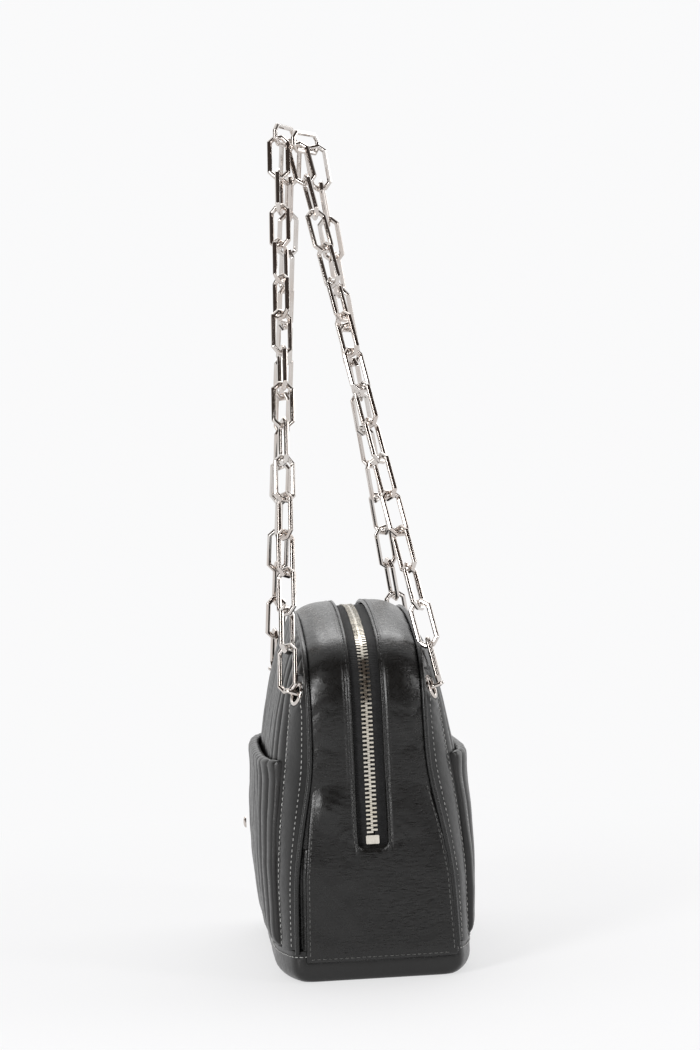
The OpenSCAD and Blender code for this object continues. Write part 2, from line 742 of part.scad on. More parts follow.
// Where a strand starts: in the outer end of its anchor ring
RING_REACH = RING_LEN / 2 - RING_WIRE - 2.4 - RING_IN;
FOOT = EYELET + RING_REACH
    * [sin(RING_TURN) * cos(RING_RISE), -cos(RING_TURN) * cos(RING_RISE), sin(RING_RISE)];

// Where it ends: in the end of the handle's top link
HEAD_X = 7.9;
HEAD_DROP = 1.9;
SLACK = 0.55;
TIGHT_PITCH = link_len - 2 * bar - SLACK;
STRAND = (LINKS - 1) * TIGHT_PITCH + link_len - bar;

// sy is 1 for the front handle and -1 for the back one
// sx is 1 for the near strand and -1 for the far one
function foot(sx, sy) = [sx * FOOT[0], sy * FOOT[1], FOOT[2]];
function top_y(sy) = sy > 0 ? front_top_y : back_top_y;
function head_z(sy) =
    FOOT[2] + sqrt(pow(STRAND, 2) - pow(FOOT[0] - HEAD_X, 2) - pow(top_y(sy) - sy * FOOT[1], 2));
function head(sx, sy) = [sx * HEAD_X, top_y(sy), head_z(sy)];

// Each link is turned a quarter from the last, and the strand twists so that its links lie cornerwise
TWIST = [0, 15, 30, 45, 45, 45, 45, 45, 45, 45, 45, 45, 60, 75, 90];

module strand_links(sx, sy, from, to) {
    a = foot(sx, sy);
    run = head(sx, sy) - a;
    dir = run / norm(run);
    across = [1, 0, 0] - dir[0] * dir;
    e1 = across / norm(across);
    e2 = cross(dir, e1);
    pitch = (norm(run) - (link_len - bar)) / (LINKS - 1);
    for (k = [from : to])
        let (
            roll = 90 * k + sx * sy * TWIST[k],
            u = e1 * cos(roll) + e2 * sin(roll),
            v = -e1 * sin(roll) + e2 * cos(roll),
            c = a + dir * (HALF_L + k * pitch)
        )
        multmatrix([[u[0], v[0], dir[0], c[0]], [u[1], v[1], dir[1], c[1]], [u[2], v[2], dir[2], c[2]]])
        link();
}

module chain_part(sx, sy, third) {
    color(NICKEL) strand_links(sx, sy, third * GROUP, third * GROUP + GROUP - 1);
}

module chain_top(sy) {
    color(NICKEL)
    translate([0, top_y(sy), head_z(sy) + HEAD_DROP])
    rotate([0, 90, 0])
    link();
}

module front_chain_near_low() { chain_part(1, 1, 0); }
module front_chain_near_mid() { chain_part(1, 1, 1); }
module front_chain_near_high() { chain_part(1, 1, 2); }
module front_chain_far_low() { chain_part(-1, 1, 0); }
module front_chain_far_mid() { chain_part(-1, 1, 1); }
module front_chain_far_high() { chain_part(-1, 1, 2); }
module front_chain_top() { chain_top(1); }
module back_chain_near_low() { chain_part(1, -1, 0); }
module back_chain_near_mid() { chain_part(1, -1, 1); }
module back_chain_near_high() { chain_part(1, -1, 2); }
module back_chain_far_low() { chain_part(-1, -1, 0); }
module back_chain_far_mid() { chain_part(-1, -1, 1); }
module back_chain_far_high() { chain_part(-1, -1, 2); }
module back_chain_top() { chain_top(-1); }

base_panel();
base_board();
lining();
front_panel();
back_panel();
front_border();
back_border();
front_piping();
back_piping();
front_pocket();
back_pocket();
pocket_stud();
near_gusset();
far_gusset();
near_gusset_patch();
far_gusset_patch();
zip_strip_front();
zip_strip_back();
zip_tape_front();
zip_tape_back();
zip_teeth_front();
zip_teeth_back();
zip_teeth_front_end();
zip_teeth_back_end();
zip_bottom_stop();
zip_top_stops();
zip_slider();
zip_pull();
eyelet_front_near();
eyelet_front_far();
eyelet_back_near();
eyelet_back_far();
eyelet_washers();
anchor_ring_front_near();
anchor_ring_front_far();
anchor_ring_back_near();
anchor_ring_back_far();
anchor_d_rings();
anchor_tab_front_near();
anchor_tab_front_far();
anchor_tab_back_near();
anchor_tab_back_far();
front_chain_near_low();
front_chain_near_mid();
front_chain_near_high();
front_chain_far_low();
front_chain_far_mid();
front_chain_far_high();
front_chain_top();
back_chain_near_low();
back_chain_near_mid();
back_chain_near_high();
back_chain_far_low();
back_chain_far_mid();
back_chain_far_high();
back_chain_top();
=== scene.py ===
"""Looks for the chain shoulder bag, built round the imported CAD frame.

The frame is in metres and the shapes here are worked out in millimetres. Soft pieces are parametric surfaces
with sewn channels, folds and stitches. The eyelets, rings and chain links are drawn here too, and the zip, the
stud, the washers and the rings inside keep their CAD shape, with rounded edges.
"""
import math

import bmesh
import bpy
import numpy as np
from mathutils import Matrix, Vector


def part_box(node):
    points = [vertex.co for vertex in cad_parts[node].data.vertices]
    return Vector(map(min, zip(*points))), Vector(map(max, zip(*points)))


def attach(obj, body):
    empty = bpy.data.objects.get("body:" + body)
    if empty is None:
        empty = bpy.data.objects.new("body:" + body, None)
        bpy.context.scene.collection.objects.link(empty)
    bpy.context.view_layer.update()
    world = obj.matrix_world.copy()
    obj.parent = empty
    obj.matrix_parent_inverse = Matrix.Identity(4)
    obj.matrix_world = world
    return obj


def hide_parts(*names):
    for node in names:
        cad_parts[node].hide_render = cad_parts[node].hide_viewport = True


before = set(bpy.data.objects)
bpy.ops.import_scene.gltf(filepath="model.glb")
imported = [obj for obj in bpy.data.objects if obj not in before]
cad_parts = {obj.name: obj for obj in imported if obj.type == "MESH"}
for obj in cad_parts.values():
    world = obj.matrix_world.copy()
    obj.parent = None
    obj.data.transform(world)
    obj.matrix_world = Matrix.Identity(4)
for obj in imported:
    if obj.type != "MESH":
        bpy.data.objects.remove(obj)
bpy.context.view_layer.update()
MM = 0.001
norm = np.linalg.norm
scene = bpy.context.scene

# ---------- shape of the bag, in millimetres

TURN = math.radians(72)
SEAM = (127.0, 206.0, 38.0)  # half length, top, corner radius at the seam between wall and gusset
ZIP = (130.0, 214.0, 42.0)  # the same on the zip line
SEAM_DEPTH = ((0, 47.8), (18, 47.8), (60, 46.5), (88, 42), (120, 35.5), (150, 34.8), (214, 35))
CROWN_DEPTH = ((0, 57), (18, 58), (60, 59.5), (90, 58.5), (120, 55.5), (150, 50), (178, 43.5), (195, 38.5),
               (206, 35.5))
STITCH = 3.2  # pitch of the sewing, which also sets the puckers
SIDES = (("front", 1), ("back", -1))
ENDS = (("near", 1), ("far", -1))


def lookup(z, table):
    return np.interp(z, [t[0] for t in table], [t[1] for t in table])


def smooth_table(table, step=2.0, width=9.0):
    """The table's straight pieces rounded into one another, as a finer table."""
    z = np.arange(table[0][0], table[-1][0] + step, step)
    k = np.exp(-0.5 * (np.arange(-24, 25) * step / width) ** 2)
    k /= k.sum()
    fine = np.arange(z[0] - 24 * step, z[-1] + 24.5 * step, step)
    v = np.interp(fine, [t[0] for t in table], [t[1] for t in table])
    lo = (table[1][1] - table[0][1]) / (table[1][0] - table[0][0])
    hi = (table[-1][1] - table[-2][1]) / (table[-1][0] - table[-2][0])
    v = np.where(fine < z[0], table[0][1] + lo * (fine - z[0]), v)
    v = np.where(fine > z[-1], table[-1][1] + hi * (fine - z[-1]), v)
    out = np.convolve(v, k, mode="same")[24:24 + len(z)]
    return list(zip(z, out))


SEAM_DEPTH = smooth_table(SEAM_DEPTH)
CROWN_DEPTH = smooth_table(CROWN_DEPTH, width=6.0)


def top_r(p):
    return (p[0] - p[2]) / math.cos(TURN) + p[2]


def corner_z(p):
    return p[1] - top_r(p) + (top_r(p) - p[2]) * math.sin(TURN)


def inset(p, d):
    return (p[0] - d, p[1] - d, p[2] - d)


def arch(p, low, step):
    """Points (x, z), outward normals and distances along the arch from low on the +X end over the top."""
    cx, cz, r, big = p[0] - p[2], corner_z(p), p[2], top_r(p)
    runs = [cz - low, r * TURN, big * (math.pi - 2 * TURN), r * TURN, cz - low]
    total = sum(runs)
    n = int(round(total / step))
    pts, nrm = [], []
    for i in range(n + 1):
        s = total * i / n
        if s < runs[0]:
            pts.append((p[0], low + s)), nrm.append((1, 0))
        elif s < runs[0] + runs[1]:
            a = (s - runs[0]) / r
            pts.append((cx + r * math.cos(a), cz + r * math.sin(a))), nrm.append((math.cos(a), math.sin(a)))
        elif s < sum(runs[:3]):
            a = TURN + (s - runs[0] - runs[1]) / big
            pts.append((big * math.cos(a), p[1] - big + big * math.sin(a))), nrm.append((math.cos(a), math.sin(a)))
        elif s < sum(runs[:4]):
            a = math.pi - TURN + (s - sum(runs[:3])) / r
            pts.append((-cx + r * math.cos(a), cz + r * math.sin(a))), nrm.append((math.cos(a), math.sin(a)))
        else:
            pts.append((-p[0], cz - (s - sum(runs[:4])))), nrm.append((-1, 0))
    return np.array(pts), np.array(nrm), np.linspace(0, total, n + 1)


def half_len(z):
    """Half length of the bag's wall at height z."""
    z = np.asarray(z, float)
    dz = z - corner_z(SEAM)
    big = top_r(SEAM)
    corner = SEAM[0] - SEAM[2] + np.sqrt(np.maximum(0, SEAM[2] ** 2 - np.maximum(dz, 0) ** 2))
    top = np.sqrt(np.maximum(0, big ** 2 - (z - (SEAM[1] - big)) ** 2))
    return np.where(dz <= 0, SEAM[0], np.where(dz < SEAM[2] * math.sin(TURN), corner, top))


def bell(x, middle, width):
    """A smooth bump, 1 at middle."""
    return np.exp(-((x - middle) / width) ** 2)


def unit(v):
    """v held between 0 and 1."""
    return np.clip(v, 0, 1)


def rounded(t):
    """How far a quarter-round edge has dropped: 1 at t = 0, and 0 from t = 1 on."""
    return 1 - np.sqrt(np.maximum(0, 1 - (1 - t) ** 2))


def eased(k):
    """A smooth step from 0 to 1."""
    return k * k * (3 - 2 * k)


def wall_y(x, z):
    """Half depth of the bag's wall."""
    g = lookup(z, SEAM_DEPTH)
    edge = np.maximum(0, half_len(z) - np.abs(x))
    crown = 1 - np.maximum(0, 1 - edge / 70) ** 3.1
    return g + (lookup(z, CROWN_DEPTH) - g) * crown


# ---------- mesh helpers

def add(obj, body="bag"):
    """Links a piece to the scene and puts it on a body."""
    if obj.name not in scene.collection.all_objects:
        scene.collection.objects.link(obj)
    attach(obj, body)
    return obj


def mesh_obj(name, verts, faces, mat):
    """A closed form from points in millimetres, with its faces turned outward."""
    me = bpy.data.meshes.new(name)
    me.from_pydata([tuple(v) for v in np.asarray(verts) * MM], [], [tuple(int(i) for i in f) for f in faces])
    me.materials.append(mat)
    me.polygons.foreach_set("use_smooth", [True] * len(me.polygons))
    me.update()
    bm = bmesh.new()
    bm.from_mesh(me)
    bmesh.ops.recalc_face_normals(bm, faces=bm.faces)
    bm.to_mesh(me)
    bm.free()
    return bpy.data.objects.new(name, me)


def grid_faces(rows, cols, base=0, flip=False):
    i, j = np.meshgrid(np.arange(rows - 1), np.arange(cols - 1), indexing="ij")
    a = (base + i * cols + j).ravel()
    q = np.stack([a, a + 1, a + cols + 1, a + cols], axis=1)
    return q[:, ::-1] if flip else q


def normals_of(p):
    """Unit normals of a grid of points (rows, cols, 3)."""
    du = np.gradient(p, axis=0)
    dv = np.gradient(p, axis=1)
    n = np.cross(du, dv)
    return n / np.maximum(norm(n, axis=2, keepdims=True), 1e-9)


def loft_faces(rings, n, closed=False):
    """Faces between rings of n points each, and from the last ring to the first when closed."""
    return [(i * n + j, i * n + (j + 1) % n, (i + 1) % rings * n + (j + 1) % n, (i + 1) % rings * n + j)
            for i in range(rings if closed else rings - 1) for j in range(n)]


def shell(name, outer, thick, mat):
    """A closed leather sheet from a grid of outer points: inner points lie thick behind them."""
    r, c, _ = outer.shape
    n = normals_of(outer)
    if np.sum(n * (outer - np.array([0, 0, 90.0]))) < 0:
        n = -n
    inner = outer - n * thick
    o = r * c
    edge = []
    for j in range(c - 1):
        edge.append((j + 1, j, o + j, o + j + 1))
        k = (r - 1) * c + j
        edge.append((k, k + 1, o + k + 1, o + k))
    for i in range(r - 1):
        k = i * c
        edge.append((k, k + c, o + k + c, o + k))
        k = i * c + c - 1
        edge.append((k + c, k, o + k, o + k + c))
    verts = np.concatenate([outer.reshape(-1, 3), inner.reshape(-1, 3)])
    faces = np.concatenate([grid_faces(r, c), grid_faces(r, c, o, True), np.array(edge)])
    return mesh_obj(name, verts, faces, mat)


def fbm(x, y, z, seed, octaves=3, scale=1.0):
    """Smooth repeatable noise from sums of sines, on arrays: quick, and the same each run."""
    rng = np.random.default_rng(seed)
    out = np.zeros(np.broadcast(x, y, z).shape)
    amp, total = 1.0, 0.0
    for o in range(octaves):
        for _ in range(7):
            d = rng.normal(size=3)
            d /= norm(d)
            f = (2 ** o) / scale * rng.uniform(0.7, 1.3)
            out += amp * np.sin((x * d[0] + y * d[1] + z * d[2]) * f * math.tau + rng.uniform(0, 6.28)) / 7
        total += amp
        amp *= 0.5
    return out / total * 1.9


def tube(path, radius, sides, closed=False):
    """Vertices and faces of a tube along path (n, 3), with caps."""
    path = np.asarray(path, float)
    n = len(path)
    t = np.roll(path, -1, 0) - np.roll(path, 1, 0)
    if not closed:
        t[0], t[-1] = path[1] - path[0], path[-1] - path[-2]
    t /= np.maximum(norm(t, axis=1, keepdims=True), 1e-9)
    ref = np.array([0, 0, 1.0]) if abs(t[0][2]) < 0.9 else np.array([0, 1.0, 0])
    u = np.zeros_like(path)
    for i in range(n):
        ref = ref - t[i] * np.dot(ref, t[i])
        ref /= norm(ref)
        u[i] = ref
    v = np.cross(t, u)
    rad = np.broadcast_to(np.asarray(radius, float), (n,))
    a = np.linspace(0, math.tau, sides, endpoint=False)
    ring = u[:, None, :] * (np.cos(a)[None, :, None] * rad[:, None, None]) + v[:, None, :] * (
        np.sin(a)[None, :, None] * rad[:, None, None])
    verts = (path[:, None, :] + ring).reshape(-1, 3)
    faces = loft_faces(n, sides, closed)
    caps = [] if closed else [tuple(range(sides))[::-1], tuple(range((n - 1) * sides, n * sides))]
    return verts, faces + caps


def stitches(name, lines, mat, length=2.2, width=0.62):
    """Rows of thread stitches: each line is (points, normals). One small rounded stitch per pitch."""
    verts, faces, k = [], [], 0
    rng = np.random.default_rng(len(name) * 7 + len(lines))
    prof = ((-0.5, 0.25), (-0.34, 0.85), (0, 1.0), (0.34, 0.85), (0.5, 0.25))
    sides = loft_faces(5, 6)
    for pts, nrm in lines:
        pts = np.asarray(pts, float)
        d = np.concatenate([[0], np.cumsum(norm(np.diff(pts, axis=0), axis=1))])
        for i in range(int(d[-1] / STITCH)):
            s = (i + 0.5) * STITCH + rng.uniform(-0.1, 0.1)
            c = np.array([np.interp(s, d, pts[:, a]) for a in range(3)])
            c2 = np.array([np.interp(min(s + 0.6, d[-1]), d, pts[:, a]) for a in range(3)])
            c1 = np.array([np.interp(max(s - 0.6, 0), d, pts[:, a]) for a in range(3)])
            n = np.array([np.interp(s, d, np.asarray(nrm)[:, a]) for a in range(3)])
            t = c2 - c1
            t /= max(norm(t), 1e-9)
            n = n - t * np.dot(n, t)
            n /= max(norm(n), 1e-9)
            b = np.cross(t, n)
            skew = rng.uniform(-0.06, 0.06)
            for (u, w) in prof:
                o = c + t * (u * length) + b * (skew * u * length) + n * (0.12 + 0.22 * (1 - 4 * u * u) - 0.18)
                for a in range(6):
                    ang = a * math.pi / 3
                    verts.append(o + b * (math.cos(ang) * width / 2 * w) + n * (math.sin(ang) * width / 2 * w))
            faces += [tuple(k + i for i in f) for f in sides]
            faces.append(tuple(k + a for a in range(6))[::-1])
            faces.append(tuple(k + 24 + a for a in range(6)))
            k += 30
    return add(mesh_obj(name, verts, faces, mat))


def eyelet_frame():
    """Centre of the near front eyelet and the direction of its axis."""
    a, tip = math.radians(19), math.radians(20)
    n = np.array([math.cos(tip) * math.sin(a), -math.cos(tip) * math.cos(a), math.sin(tip)])
    lo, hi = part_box("eyelet_front_near")
    return (np.array(lo) + np.array(hi)) / 2 / MM, n


EYE, EYE_N = eyelet_frame()
EYE_CORNERS = [(np.array([sx * EYE[0], sy * EYE[1], EYE[2]]), np.array([sx * EYE_N[0], sy * EYE_N[1], EYE_N[2]]))
               for sx in (1, -1) for sy in (1, -1)]


def press_eyelets(p):
    """Leather round the eyelets lies flat under their flanges."""
    for c, n in EYE_CORNERS:
        v = p - c
        h = v @ n
        r = norm(v - h[..., None] * n, axis=-1)
        near = norm(v, axis=-1) < 30
        w = unit((12.5 - r) / 5.0)
        w = np.where(near, eased(w), 0)
        p = p + ((-0.45 - h) * w)[..., None] * n
    return p


# ---------- materials

def material(name):
    m = bpy.data.materials.new(name)
    m.use_nodes = True
    nt = m.node_tree
    return m, nt, nt.nodes["Principled BSDF"]


def node(nt, kind, *sources, **inputs):
    """A new node. Sources feed its first inputs in order, and None leaves one as it is."""
    n = nt.nodes.new("ShaderNode" + kind)
    for k, v in inputs.items():
        if k in n.inputs:
            n.inputs[k].default_value = v
        else:
            setattr(n, k, v)
    for to, source in zip(n.inputs, sources):
        if source is not None:
            nt.links.new(source, to)
    return n


def ramp(nt, source, stops):
    r = node(nt, "ValToRGB", source)
    while len(r.color_ramp.elements) < len(stops):
        r.color_ramp.elements.new(0.5)
    for e, (at, c) in zip(r.color_ramp.elements, stops):
        e.position = at
        e.color = c if len(c) == 4 else (*c, 1)
    return r.outputs[0]


def grey(v):
    return (v, v, v, 1)


def noise(nt, at, scale, detail, **more):
    return node(nt, "TexNoise", at, Scale=scale, Detail=detail, **more).outputs["Fac"]


def multiply(nt, a, b, fac=1.0):
    return node(nt, "MixRGB", None, a, b, blend_type="MULTIPLY", Fac=fac).outputs[0]


def bump(nt, height, strength, distance, under=None, invert=False):
    """Relief from a height, on top of the relief under it."""
    n = node(nt, "Bump", Strength=strength, Distance=distance, invert=invert)
    nt.links.new(height, n.inputs["Height"])
    if under is not None:
        nt.links.new(under, n.inputs["Normal"])
    return n.outputs[0]


def maths(nt, operation, *values):
    """A maths node whose inputs are sockets or floats."""
    n = node(nt, "Math", operation=operation)
    for to, v in zip(n.inputs, values):
        if isinstance(v, float):
            to.default_value = v
        else:
            nt.links.new(v, to)
    return n.outputs[0]


def object_point(nt):
    return node(nt, "TexCoord").outputs["Object"]


def leather(name, colour, rough=0.34, grain=0.16, crease=0.3, wrinkle=0.0):
    """Fine-grained satin leather: pebbled cells, soft creases, and a little wear in its colour."""
    m, nt, b = material(name)
    at = object_point(nt)
    cells = node(nt, "TexVoronoi", at, Scale=1250.0).outputs["Distance"]
    fine = noise(nt, at, 2600.0, 3.0)
    soft = noise(nt, at, 300.0, 4.0, Roughness=0.62, Distortion=0.8)
    broad = noise(nt, at, 22.0, 3.0)
    c = np.array(colour)
    shade = ramp(nt, broad, ((0.3, tuple(c * 0.9)), (0.7, tuple(c * 1.12))))
    worn = multiply(nt, shade, ramp(nt, cells, ((0.0, grey(1)), (0.75, grey(0.55)))), 0.5)
    nt.links.new(worn, b.inputs["Base Color"])
    nt.links.new(ramp(nt, soft, ((0.3, grey(rough - 0.07)), (0.7, grey(rough + 0.09)))), b.inputs["Roughness"])
    b.inputs["Specular IOR Level"].default_value = 0.42
    b.inputs["Coat Weight"].default_value = 0.12
    b.inputs["Coat Roughness"].default_value = 0.22
    relief = None
    if wrinkle:
        turned = node(nt, "Mapping", at, Rotation=(0.5, 0.0, 0.0), Scale=(1.0, 0.55, 2.4)).outputs[0]
        lines = noise(nt, turned, 330.0, 3.0, Distortion=0.6)
        where = ramp(nt, noise(nt, at, 26.0, 1.0), ((0.42, grey(0.05)), (0.75, grey(1.0))))
        relief = bump(nt, multiply(nt, lines, where), wrinkle, 0.0006)
    folds = multiply(nt, soft, ramp(nt, broad, ((0.3, grey(0.1)), (0.8, grey(1.0)))))
    relief = bump(nt, folds, crease, 0.0009, relief)
    relief = bump(nt, cells, grain, 0.00022, relief, invert=True)
    nt.links.new(bump(nt, fine, 0.08, 0.0001, relief), b.inputs["Normal"])
    return m


def metal(name, colour, rough, tint, scratch=0.05):
    """Polished plated metal with faint smears and hairline scratches."""
    m, nt, b = material(name)
    at = object_point(nt)
    c = np.array(colour)
    tone = ramp(nt, noise(nt, at, 45.0, 2.0), ((0.35, tuple(c * np.array(tint))), (0.65, tuple(c))))
    nt.links.new(tone, b.inputs["Base Color"])
    smear = ramp(nt, noise(nt, at, 160.0, 4.0), ((0.35, grey(rough * 0.7)), (0.75, grey(rough * 1.9))))
    nt.links.new(smear, b.inputs["Roughness"])
    b.inputs["Metallic"].default_value = 1.0
    hair = noise(nt, at, 900.0, 2.0, Distortion=1.5)
    nt.links.new(bump(nt, hair, scratch, 0.00008), b.inputs["Normal"])
    return m


def cloth(name, colour, rib=0.0, weave=1700.0, rough=0.85):
    """Woven fabric. With rib over 0 it is ribbed across the direction kept in the attribute along."""
    m, nt, b = material(name)
    at = object_point(nt)
    height = noise(nt, at, weave, 2.0)
    c = np.array(colour)
    fleck = ramp(nt, noise(nt, at, 300.0, 3.0), ((0.3, tuple(c * 0.75)), (0.7, tuple(c * 1.3))))
    nt.links.new(fleck, b.inputs["Base Color"])
    b.inputs["Roughness"].default_value = rough
    b.inputs["Specular IOR Level"].default_value = 0.25
    b.inputs["Sheen Weight"].default_value = 0.15
    if rib:
        along = node(nt, "Attribute", attribute_name="along").outputs["Fac"]
        wave = maths(nt, "SINE", maths(nt, "MULTIPLY", along, math.tau / rib))
        height = maths(nt, "MULTIPLY_ADD", wave, 0.5, height)
    nt.links.new(bump(nt, height, 0.7, 0.00025), b.inputs["Normal"])
    return m


# All five are one black leather. The bands, the gusset and the piping get darker colours than the quilted walls and
# the base: painted shade, not a different leather.
LEATHER = leather("quilted_leather", (0.012, 0.0117, 0.0114), rough=0.35, crease=0.12)
BAND = leather("band_leather_painted_shade", (0.005, 0.005, 0.0048), rough=0.34, crease=0.35)
GUSSET = leather("gusset_leather", (0.0075, 0.0073, 0.007), rough=0.28, grain=0.2, crease=0.2, wrinkle=0.8)
BASE = leather("base_leather", (0.012, 0.0118, 0.0115), rough=0.36)
EDGE = leather("piping_leather", (0.007, 0.007, 0.0068), rough=0.28)
GREY_THREAD = cloth("grey_thread", (0.1, 0.1, 0.097), weave=5200.0, rough=0.4)
DARK_THREAD = cloth("black_thread", (0.03, 0.03, 0.03), weave=5200.0, rough=0.4)
THREAD = cloth("light_thread", (0.42, 0.42, 0.41), weave=5200.0, rough=0.5)
TAPE = cloth("zip_tape_cloth", (0.012, 0.012, 0.0125), rib=1.25)
CLOTH = cloth("lining_twill", (0.035, 0.035, 0.038), weave=2200.0)
BOARD = cloth("base_board_fibre", (0.10, 0.075, 0.05), weave=900.0)
NICKEL = metal("polished_nickel", (0.66, 0.63, 0.605), rough=0.075, tint=(0.9, 0.85, 0.82))
CHAMPAGNE = metal("champagne_metal", (0.74, 0.70, 0.62), rough=0.2, scratch=0.1, tint=(0.9, 0.87, 0.82))

# ---------- camera, floor and light

def make_camera():
    """The photograph's view: from the near end, a little to the front and above, slightly rolled."""
    psi, rho, pitch, f = math.radians(3.97), math.radians(2.73), math.radians(0.22), 2643.0
    distance, height, aside = 1.643, 0.267, 0.0044
    level = Vector((math.sin(psi), math.cos(psi), 0))
    back = Vector((math.cos(psi), -math.sin(psi), 0))
    fwd = (-back * math.cos(pitch) - Vector((0, 0, 1)) * math.sin(pitch)).normalized()
    upright = level.cross(fwd).normalized()
    right = level * math.cos(rho) - upright * math.sin(rho)
    up = level * math.sin(rho) + upright * math.cos(rho)
    cam = bpy.data.cameras.new("camera")
    ob = bpy.data.objects.new("camera", cam)
    scene.collection.objects.link(ob)
    m = Matrix((right, up, -fwd)).transposed().to_4x4()
    m.translation = back * distance + Vector((0, 0, height)) + level * aside
    ob.matrix_world = m
    cam.sensor_fit = 'VERTICAL'
    cam.sensor_height = 24
    cam.lens = 24 * f / 1050
    cam.clip_start = 0.01
    scene.camera = ob


PAPER = (0.955, 0.955, 0.96, 1)
LIT_POINT = (0, 0, 0.15)


def area(name, place, size, power):
    light = bpy.data.lights.new(name, "AREA")
    light.shape = 'RECTANGLE'
    light.size, light.size_y = size
    light.energy = power
    ob = bpy.data.objects.new(name, light)
    ob.location = place
    ob.rotation_euler = (Vector(LIT_POINT) - Vector(place)).to_track_quat('-Z', 'Y').to_euler()
    ob.visible_camera = False
    scene.collection.objects.link(ob)


def studio():
    """A floor and sky that look white to the camera and in metal, and four lamps."""
    me = bpy.data.meshes.new("floor")
    n = 96
    verts = [(6 * math.cos(math.tau * i / n), 6 * math.sin(math.tau * i / n), -0.0002) for i in range(n)]
    me.from_pydata(verts, [], [tuple(range(n))])
    m, nt, b = material("pale_floor")
    b.inputs["Base Color"].default_value = (0.84, 0.84, 0.85, 1)
    b.inputs["Roughness"].default_value = 0.75
    b.inputs["Specular IOR Level"].default_value = 0.2
    away = node(nt, "VectorMath", object_point(nt), operation="LENGTH").outputs["Value"]
    fade = node(nt, "MapRange", away, interpolation_type="SMOOTHSTEP",
                **{"From Min": 0.12, "From Max": 0.75, "To Min": 0.66, "To Max": 1.0}).outputs["Result"]
    ray = node(nt, "LightPath").outputs
    seen = maths(nt, "MAXIMUM", ray["Is Camera Ray"], ray["Is Glossy Ray"])
    seen = maths(nt, "MAXIMUM", seen, ray["Is Transmission Ray"])
    glow = node(nt, "Emission", Color=PAPER).outputs[0]
    mix = node(nt, "MixShader", maths(nt, "MULTIPLY", fade, seen), b.outputs[0], glow)
    nt.links.new(mix.outputs[0], nt.nodes["Material Output"].inputs["Surface"])
    me.materials.append(m)
    floor = bpy.data.objects.new("floor", me)
    scene.collection.objects.link(floor)
    world = bpy.data.worlds.new("studio")
    world.use_nodes = True
    scene.world = world
    nt = world.node_tree
    at = node(nt, "TexCoord").outputs["Generated"]
    split = node(nt, "SeparateXYZ", at)
    horizon = ramp(nt, split.outputs["Z"], ((0.0, grey(0.95)), (0.2, grey(0.96)), (0.3, grey(0.0)), (1.0, grey(0.0))))
    behind = ramp(nt, split.outputs["X"], ((0.0, grey(1)), (0.05, grey(1)), (0.35, grey(0.05)), (1.0, grey(0.05))))
    turned = node(nt, "VectorMath", at, operation="DOT_PRODUCT")
    turned.inputs[1].default_value = (-0.78, 0.0, 0.62)
    dark = (0.06, 0.048, 0.042)
    dome = ramp(nt, turned.outputs["Value"], ((0.3, dark), (0.46, dark), (0.56, grey(0.97)), (1.0, grey(1.0))))
    sky = node(nt, "MixRGB", None, multiply(nt, horizon, behind), dome, blend_type="LIGHTEN", Fac=1.0)
    camera_ray = node(nt, "LightPath").outputs["Is Camera Ray"]
    paper = node(nt, "MixRGB", camera_ray, sky.outputs[0])
    paper.inputs[2].default_value = PAPER
    nt.links.new(paper.outputs[0], nt.nodes["Background"].inputs[0])
    nt.nodes["Background"].inputs[1].default_value = 1.0
    area("overhead", (-0.75, 0.1, 1.3), (0.9, 0.8), 7)
    area("left_strip", (1.05, -0.75, 0.6), (0.3, 1.0), 12)
    area("right_strip", (0.95, 0.9, 0.6), (0.16, 0.9), 5)
    area("right_window", (-0.5, 1.5, 0.7), (0.9, 0.6), 5)
    scene.view_settings.view_transform = 'Standard'


make_camera()
studio()

# ---------- quilted walls

CHANNEL = 2 * 107.0 / 16
BAND_TOP = 176.0
PANEL_HALF, BAND_IN = 107.2, 106.4  # where the quilting ends below the band's top, and where the band begins
CORE_SHARE = 0.85  # share of a panel's columns that stay upright
BASE_Z = 18.0


def quilt(x, z, depth):
    """How far padding stands out between the sewn grooves, with puckers at the stitches."""
    t = np.abs(((x / CHANNEL) % 1.0) - 0.5) * 2
    puff = np.sqrt(np.maximum(0, 1 - t ** 2.4))
    pucker = 0.09 * bell(t, 1, 0.22) * np.sin(z * math.tau / STITCH + np.floor(x / CHANNEL) * 1.7)
    return depth * (puff + pucker - 1)


def wall_point(x, z, out, sy):
    return np.stack([x, sy * (wall_y(x, z) + out), z], axis=-1)


